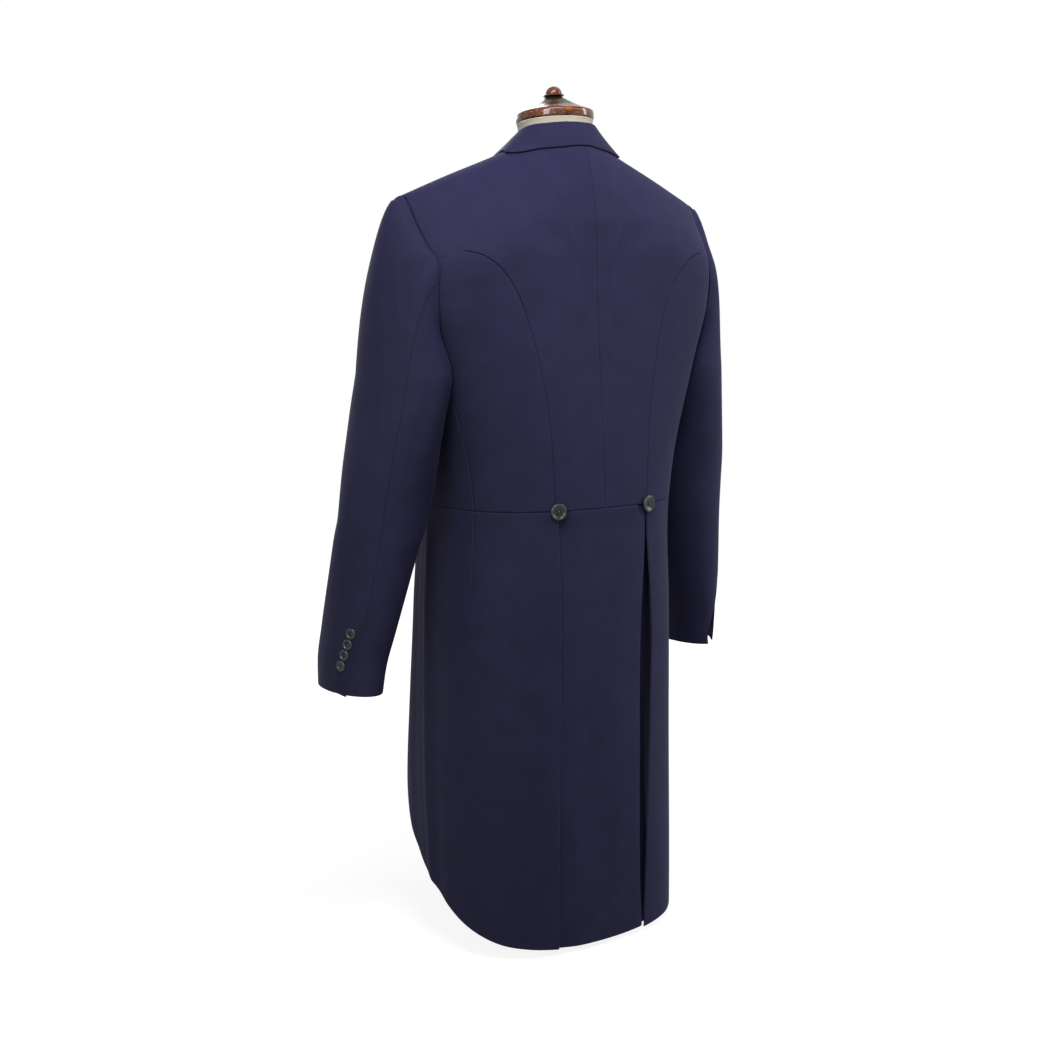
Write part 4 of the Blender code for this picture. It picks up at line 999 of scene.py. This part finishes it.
back_turn = float(place_at(SKIRT_EDGES[2][1], SKIRT_EDGES[2][0])[0])
for column, (side, word) in enumerate(SIDES):
    dart_share = (DART_TURN - back_turn) / (HEM[-1][0] - back_turn)
    columns = shares((ROUND_SKIRT, 16))
    columns = columns[np.abs(columns - dart_share) * ROUND_SKIRT > DART_CLEAR - DART_STEPS[0]]
    columns = np.sort(np.concatenate([columns, dart_share + DART_STEPS / ROUND_SKIRT]))
    across, down = np.meshgrid(columns, shares((SKIRT_LENGTH, 14)))
    turns = back_turn + (HEM[-1][0] - back_turn) * across
    foot = smooth_rows(HEM, turns)[..., column]
    heights = foot + (WAIST - foot) * down
    edge_turns = place_at(smooth_rows(SKIRT_EDGES, heights[:, 0])[:, column], heights[:, 0])[:, 0]
    turns = turns + (edge_turns[:, None] - back_turn) * (1 - across) ** 3
    beside_dart = np.exp(-(((across - dart_share) / DART_REACH) ** 2))
    turns = turns + DART_DRIFT * ease((WAIST - heights) / (WAIST - DART_FOOT)) * beside_dart
    aside = (across - dart_share) * ROUND_SKIRT
    above_foot = heights - DART_FOOT
    dart = DART_DEPTH * (1 - np.abs(aside) / DART_HALF_WIDTH).clip(0) ** 2 * ease(above_foot / DART_FADING)
    from_dimple = (above_foot + DIMPLE_DROP) / DIMPLE_HEIGHT
    dimple = DIMPLE_DEPTH * np.exp(-((aside / DIMPLE_WIDTH) ** 2) - from_dimple**2)
    skirt_places = np.stack([turns, heights], -1)
    hanging = lapped(skirt_places, side) + skirt_folds(turns, heights, side) - dart - dimple
    torso_piece(
        f"skirt_{word}", skirt_places, side, hanging, held="hung",
        rests_on=[f"worsted_side_back_{word}", f"worsted_front_{word}"])

# The middle back skirt: one piece of worsted between two deep pleats, which fold in under the side skirts.
# The right pleat stands a little open, so its shadow shows as a long black wedge.

BACK_SKIRT_FOLDS = [
    # step, x, depth, opening_depth, closing_x
    (0, 96, 4.6, 0, 0),
    (1, 82, 3.6, 0, 0),
    (2, 71, 4.2, 0, 0),
    (3, 58, 4.2, 0, 0),
    (4, 38, 2.3, 0, 0),
    (5, 12, 2.3, 0, 0),
    (6, -14, 2.3, 0, 0),
    (7, -38, 2.3, 0, -1),
    (8, -56, 2.3, 0, -4),
    (9, -63.5, 2.5, 0.8, -7.5),
    (10, -66.5, 4.4, 3.5, -7.5),
    (11, -69, 7, 7, -7.5),
    (12, -76, 8.5, 9, -5),
    (13, -88, 8.5, 9, -2),
    (14, -99, 8.5, 9, 0),
]
SKIRT_BACK_FOOT = 8.0
SKIRT_BACK_RISE = 4.0
FLUSH_HALF_WIDTH = 60.0
FLUSH_FADING = 14.0
FLUSH_DROP = 26.0
FLUSH_SHARE = 0.96
PLEAT_OPENING = [
    # height, share
    (0, 0.05), (80, 0.65), (150, 0.95), (300, 1), (430, 0.85), (525, 0.25), (571, 0.05),
]
pleat_steps = np.unique(np.concatenate([
    np.linspace(0, 0.3, 5), np.linspace(0.3, 8, 44), np.linspace(8, 12, 33), np.linspace(12, 14, 8)
]))
folds = smooth_rows(BACK_SKIRT_FOLDS, pleat_steps)[None]
up = shares((SKIRT_LENGTH, 12))[:, None]
foot = SKIRT_BACK_FOOT + SKIRT_BACK_RISE * (folds[..., 0] / BACK_SKIRT_FOLDS[0][1]) ** 2
heights = foot + (WAIST - foot) * up
opening = smooth_rows(PLEAT_OPENING, heights)[..., 0]
places = place_at(folds[..., 0] + folds[..., 3] * (1 - opening), heights)
places[..., 0] -= 360 * (places[..., 0] > 180)
middle_points, middle_normals = torso_point(places), torso_normal(places)
in_middle = ease((FLUSH_HALF_WIDTH - np.abs(folds[..., 0])) / FLUSH_FADING)
at_seam = in_middle * (1 - ease((WAIST - heights) / FLUSH_DROP))
inward = (folds[..., 1] + folds[..., 2] * opening) * (1 - FLUSH_SHARE * at_seam)
middle_points += (drape(middle_points, 1) - inward)[..., None] * middle_normals
middle_points = middle_points[:, ::-1]
sheet_normals = unit(np.cross(np.gradient(middle_points, axis=1), np.gradient(middle_points, axis=0)))
sheet_normals *= np.sign(sheet_normals[0, 0, 1])
cloth_piece(
    "skirt_back", middle_points, sheet_normals, held="hung",
    rests_on=["worsted_back_left", "worsted_back_right"])

# The collar: one piece of worsted that stands up from the neckline, rolls over and falls on the back and the
# lapels, with a firm pressed edge.

COLLAR_ROWS = [
    # step, fold_x, fold_y, fold_z, foot_x, foot_y, edge_x, edge_y
    (0, 0, 49.8, 1042.2, 0, 55.5, 0, 65),
    (1, 20, 46, 1041.6, 22, 52, 28, 56.5),
    (2, 36, 34.6, 1040.2, 41, 40.5, 52, 45),
    (3, 46, 18, 1038.8, 53, 23, 76, 33),
    (4, 49, 1, 1035.5, 59, 3, 86, 18),
    (5, 49, -15, 1029, 59.5, -15, 75, -7),
    (6, 49.5, -30, 1021, 58, -30, 68, -26),
    (7, 52, -46, 1010, 57, -45, 73, -49),
    (8, 56, -66, 996, 58.5, -65, 86, -74),
    (9, 60.5, -85, 979, 62.5, -84, 95, -97),
]
COLLAR_CLOTH = 1.7
BACK_GAP = 0.8
FALL_BOW = 0.8
STAND_LIFT = 0.6
STAND_BOW = 0.1
STAND_PARTS = (0, 0.03, 0.08, 0.2, 0.35, 0.5, 0.65, 0.8, 0.92)
FALL_PARTS = (0.08, 0.18, 0.3, 0.42, 0.54, 0.66, 0.78, 0.86, 0.91, 0.945, 0.968, 0.985, 1.0)
LAPEL_START = 5.5
LAPEL_STEPS = 1.5
LEAST_SLOPE = 0.35
FOLD_RADIUS = 2.3
COLLAR_CELLS = 60


def above_shoulder(x, y):
    """The turn and level of the place on top of the shoulders at that x and y."""
    ring_height = np.full(np.shape(x), RIDGE)
    for _ in range(30):
        sizes = ring_sizes(ring_height)
        from_middle = y + shoulder_lean(x, ring_height) - sizes[2]
        square, depth, power = half_ring(from_middle, sizes)
        deep = (1 - np.abs(x / sizes[0]) ** square) ** (1 / square)
        closing = np.clip(np.abs(from_middle) / (depth * deep), 0, 1)
        ring_height = 0.5 * ring_height + 0.5 * (ROUND + DOME * (1 - closing**power) ** (1 / power))
    turn = np.degrees(np.arctan2(x / sizes[0], np.where(from_middle > 0, deep, -deep)))
    return np.stack([turn, level_of(ring_height)], -1)


def above_coat(x, y, out):
    """The point over the coat's shoulders at x and y, moved out by a distance."""
    found = above_shoulder(x, y)
    height = torso_point(found)[..., 2] + out / np.maximum(torso_normal(found)[..., 2], LEAST_SLOPE)
    return np.stack([np.broadcast_to(x, height.shape), np.broadcast_to(y, height.shape), height], -1)


def square_to(start, end):
    """The direction square to a line in a section's own upright plane, on its outer side."""
    run = end - start
    out, up = np.sum(run * outward, -1, keepdims=True), run[:, 2:]
    return unit(out * upright - up * outward)


collar_steps = np.linspace(0, COLLAR_ROWS[-1][0], COLLAR_CELLS + 1)
collar_values = smooth_rows(COLLAR_ROWS, collar_steps)
fold = collar_values[:, :3]
foot = above_coat(collar_values[:, 3], collar_values[:, 4], STAND_LIFT)
on_lapel = ease((collar_steps - LAPEL_START) / LAPEL_STEPS)
lying = COLLAR_CLOTH + BACK_GAP + (LAPEL_GAP - BACK_GAP) * on_lapel
edge = above_coat(collar_values[:, 5], collar_values[:, 6], lying)
outward = unit((edge - foot) * (1, 1, 0))
upright = np.array([0, 0, 1.0])
stand_side, fall_side = square_to(foot, fold), square_to(fold, edge)
start_angle = np.arctan2(stand_side[:, 2:], np.sum(stand_side * outward, -1, keepdims=True))
end_angle = np.arctan2(fall_side[:, 2:], np.sum(fall_side * outward, -1, keepdims=True))
start_angle = np.where(start_angle < 0, start_angle + 2 * math.pi, start_angle)
roll_start = fold + FOLD_RADIUS * (np.cos(start_angle) * outward + np.sin(start_angle) * upright)
section = []
for part in STAND_PARTS:
    bow = 4 * part * (1 - part) * STAND_BOW * FOLD_RADIUS
    section.append(foot + (roll_start - foot) * part + bow * stand_side)
for part in np.linspace(0, 1, 9):
    angle = start_angle + (end_angle - start_angle) * part
    section.append(fold + FOLD_RADIUS * (np.cos(angle) * outward + np.sin(angle) * upright))
fall_start = section[-1]
for part in FALL_PARTS:
    fall = fall_start + (edge - fall_start) * part + FALL_BOW * math.sin(math.pi * part) * fall_side
    least = above_coat(fall[:, 0], fall[:, 1], lying)
    fall[:, 2] = np.maximum(fall[:, 2], least[:, 2])
    section.append(fall)
half_collar = np.stack(section)
whole_collar = np.concatenate([half_collar[:, :0:-1] * (-1, 1, 1), half_collar], 1)
collar_normals = unit(np.cross(np.gradient(whole_collar, axis=0), np.gradient(whole_collar, axis=1)))
collar_normals *= np.sign(collar_normals[-1, COLLAR_CELLS, 1])
cloth_piece(
    "collar", whole_collar, collar_normals, 1, COLLAR_CLOTH, held="folded",
    rests_on=["worsted_back_left", "worsted_back_right"], roll=0.5)

# The buttons: dark horn, turned with a raised rim and a dished middle with four holes, sewn on with navy
# thread. Two mark the waist, four close each cuff, and one closes the front.

BUTTON_RADIUS = 10.4
BACK_BUTTONS = [
    # side, x
    (1, 67.5), (-1, 71.5),
]
CUFF_BUTTON_RADIUS = 6.8
BUTTON_GAP = 0.7
HOLE_PLACE = 2.0
THREAD_RADIUS = 0.55
THREAD_TOP = 2.45
THREAD_SAG = 1.5
BACK_SPIN = 12
CUFF_SPIN = 25
CUFF_SPIN_STEP = 31
FRONT_SPIN = 8
DRILL_PROFILE = [
    # radius, height
    (0, 5.5), (1.15, 5.5), (1.15, -2.5), (0, -2.5),
]
BUTTON_PROFILE = [
    # radius, height
    (0, 1.9), (4, 1.92), (6.2, 2.05), (7, 2.35), (7.6, 2.9), (8.2, 3.25), (8.9, 3.36), (9.6, 3.2),
    (10.15, 2.75), (10.4, 2.1), (10.2, 1.4), (9.7, 0.7), (8.6, 0.2), (7.2, 0), (0, 0),
]
CUFF_BUTTONS = [
    # number, height, left_place, right_place
    (1, 424, 3.8, 3.02),
    (2, 410, 3.75, 2.97),
    (3, 396.1, 3.71, 2.93),
    (4, 382.2, 3.66, 2.88),
]
FRONT_BUTTON = (1.0, 584.0)


def drilled_button():
    """The mesh of one button with its four holes and its crossed thread, round its own Z axis."""
    holes = [(x, y) for x in (-HOLE_PLACE, HOLE_PLACE) for y in (-HOLE_PLACE, HOLE_PLACE)]
    drills = turned("drills", DRILL_PROFILE, 20, holes)
    body = boolean("DIFFERENCE", turned("blank", BUTTON_PROFILE, 64), drills)
    whole = bmesh.new()
    whole.from_mesh(body)
    sewn = len(whole.faces)
    up = np.array([0, 0, 1.0])
    for turn, lift in ((45, 0.4), (135, 0)):
        direction = np.array([math.cos(math.radians(turn)), math.sin(math.radians(turn)), 0])
        run = np.linspace(-1, 1, 13)[:, None]
        middle = run * direction * HOLE_PLACE * math.sqrt(2) + up * (THREAD_TOP - THREAD_SAG * run**4 + lift)
        angles = np.linspace(0, 2 * math.pi, 9)[:-1, None]
        ring = np.cos(angles) * np.cross(direction, up) + np.sin(angles) * up
        whole.from_mesh(lofted("thread", middle[:, None] + THREAD_RADIUS * ring))
    whole.faces.ensure_lookup_table()
    for face in whole.faces[sewn:]:
        face.material_index = 1
    bmesh.ops.recalc_face_normals(whole, faces=whole.faces[sewn:])
    whole.to_mesh(body)
    whole.free()
    body.materials.clear()
    body.materials.append(horn)
    body.materials.append(thread)
    body.shade_smooth()
    body.set_sharp_from_angle(angle=math.radians(50))
    return body


# Buffalo horn: nearly black with faint grey-green streaks, and polished. Its raised rim is painted a lighter
# grey-green where it gleams, which is a painted highlight.
horn, tree, shader = finish(
    "polished_horn", Roughness=0.3, IOR=1.54, Specular_IOR_Level=0.3, Coat_Weight=0.1, Coat_Roughness=0.1)
seen = add(tree, "TexCoord", out="Object")
streaks = add(tree, "Mapping", {"Vector": seen, "Scale": (120, 420, 300)})
figure = add(tree, "TexNoise", {"Vector": streaks, "Scale": 1.0, "Detail": 4.0, "Distortion": 0.8})
colour = blended(tree, figure, "#040505", "#171c1b")
flat = add(tree, "Mapping", {"Vector": seen, "Scale": (1, 1, 0)})
from_axis = add(tree, "VectorMath", {0: flat}, "Value", operation="LENGTH")
# Painted highlight: the rim is coloured lighter according to its distance from the button's axis.
painted_rim_highlight = add(tree, "MapRange", {"Value": from_axis, "From Min": 0.0078, "From Max": 0.0094})
wire(shader, Base_Color=add(tree, "Mix", {0: painted_rim_highlight, 6: colour, 7: linear("#343b39")}, 2, data_type="RGBA"))

# Navy sewing thread: twisted polyester, duller and a little lighter than the cloth.
thread, tree, shader = finish("navy_thread", Roughness=0.6, Sheen_Weight=0.3)
seen = add(tree, "TexCoord", out="Object")
twist = add(tree, "TexWave", {"Vector": seen, "Scale": 500.0}, "Fac", bands_direction="DIAGONAL")
wire(shader, Base_Color=blended(tree, twist, "#1d1e33", "#3a3b58"))

button_mesh = drilled_button()


def sew_on(node, radius, point, normal, side, spin):
    """Puts a button at a point of the cloth, with its axis along the outward direction."""
    made = placed("horn_" + node, button_mesh, horn, node)
    point, normal = (point + BUTTON_GAP * normal) * (side, 1, 1), normal * (side, 1, 1)
    made.location = point * MM
    made.scale = np.full(3, radius / BUTTON_RADIUS)
    lean = math.atan2(math.hypot(normal[0], normal[1]), normal[2])
    made.rotation_euler = (0, lean, math.atan2(normal[1], normal[0]))
    made.rotation_euler.rotate_axis("Z", math.radians(spin))
    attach(made, "root")


def cuff_outside(place, height):
    """The lapped cuff's outer face and its outward direction at a place."""
    across = sleeve_point(place + 0.2, height) - sleeve_point(place - 0.2, height)
    up = sleeve_point(place, height + 2) - sleeve_point(place, height - 2)
    normal = unit(np.cross(across, up))
    return sleeve_point(place, height) + vent_lift(place, height) * normal, normal


for (side, x), word in zip(BACK_BUTTONS, ("left", "right")):
    place = place_at(x, WAIST)
    point, normal = torso_point(place), torso_normal(place)
    sew_on(f"back_button_{word}", BUTTON_RADIUS, point, normal, side, BACK_SPIN * side)
    for number, height, left_place, right_place in CUFF_BUTTONS:
        point, normal = cuff_outside(left_place if side > 0 else right_place, height)
        spin = CUFF_SPIN + CUFF_SPIN_STEP * number
        sew_on(f"cuff_button_{word}_{number}", CUFF_BUTTON_RADIUS, point, normal, side, spin)
place = place_at(*FRONT_BUTTON, True)
normal = torso_normal(place)
sew_on("front_button", BUTTON_RADIUS, torso_point(place) + LAP * normal, normal, 1, FRONT_SPIN)

# The studio: a wide pale floor in white air, a soft light close above the shoulders, fills from behind the
# camera, from the left, the right and the front, and a tall one that only polished pieces mirror. The camera
# stands behind the coat and looks slightly down.

floor_mesh = bpy.data.meshes.new("studio_floor")
floor_mesh.from_pydata([(-40, -40, 0), (40, -40, 0), (40, 40, 0), (-40, 40, 0)], [], [(0, 1, 2, 3)])
floor = shown("studio_floor", floor_mesh)
floor.visible_diffuse = False

# White paper, lit from below so that it runs into the white air; near the stand a faint shadow shows on it.
paper, tree, shader = finish(
    "lit_paper", Roughness=0.95, Specular_IOR_Level=0.0, Base_Color=linear("#8a8a8a"),
    Emission_Color=linear("#ffffff"))
seen = add(tree, "TexCoord", out="Object")
from_stand = add(tree, "VectorMath", {0: seen}, "Value", operation="LENGTH")
glow = add(tree, "MapRange", {"Value": from_stand, "From Min": 0.2, "From Max": 1.6, "To Min": 0.86})
wire(shader, Emission_Strength=glow)
floor_mesh.materials.append(paper)

world = bpy.data.worlds.new("studio_air")
world.use_nodes = True
world.node_tree.nodes["Background"].inputs["Color"].default_value = (1, 1, 1, 1)
world.node_tree.nodes["Background"].inputs["Strength"].default_value = 1.0
bpy.context.scene.world = world
world.cycles_visibility.diffuse = False
bpy.context.scene.view_settings.view_transform = "Standard"

LIGHTS = [
    # name, place, aim, width, height, watts, lights_matt_cloth
    ("shoulder_near", (0.45, 0.8, 1.9), (0.0, 0.05, 1.0), 0.8, 0.5, 21.5, True),
    ("behind_camera", (2.0, 2.9, 1.7), (0.0, 0.0, 0.6), 2.4, 1.6, 9.6, True),
    ("left_high", (1.9, 0.9, 2.1), (0.1, 0.0, 0.8), 0.8, 1.0, 7.4, True),
    ("right_strip", (-1.9, 0.9, 1.4), (-0.1, 0.0, 0.7), 0.4, 1.6, 24, True),
    ("front_fill", (-0.6, -2.8, 1.9), (0.0, 0.0, 0.7), 2.2, 1.6, 36, True),
    ("gleam", (1.9, 1.16, 1.5), (0.0, 0.0, 1.05), 0.7, 1.4, 42, False),
]


def aimed(made, place, direction):
    made.location = place
    made.rotation_mode = "QUATERNION"
    made.rotation_quaternion = direction.to_track_quat("-Z", "Y")


for name, place, aim, width, height, watts, on_matt in LIGHTS:
    light = bpy.data.lights.new(name, "AREA")
    light.shape = "RECTANGLE"
    light.size, light.size_y, light.energy = width, height, watts
    lamp = shown(name, light)
    lamp.visible_diffuse = on_matt
    aimed(lamp, place, Vector(aim) - Vector(place))

CAMERA_PLACE = (1.2332, 1.7612, 0.856)
CAMERA_AZIMUTH = math.radians(33.835)
CAMERA_DOWN = math.radians(8.29)
lens = bpy.data.cameras.new("studio_camera")
lens.lens = 57.91
lens.sensor_width = 36.0
camera = shown("studio_camera", lens)
level_part = Vector((-math.sin(CAMERA_AZIMUTH), -math.cos(CAMERA_AZIMUTH), 0)) * math.cos(CAMERA_DOWN)
aimed(camera, CAMERA_PLACE, level_part + Vector((0, 0, -math.sin(CAMERA_DOWN))))
bpy.context.scene.camera = camera
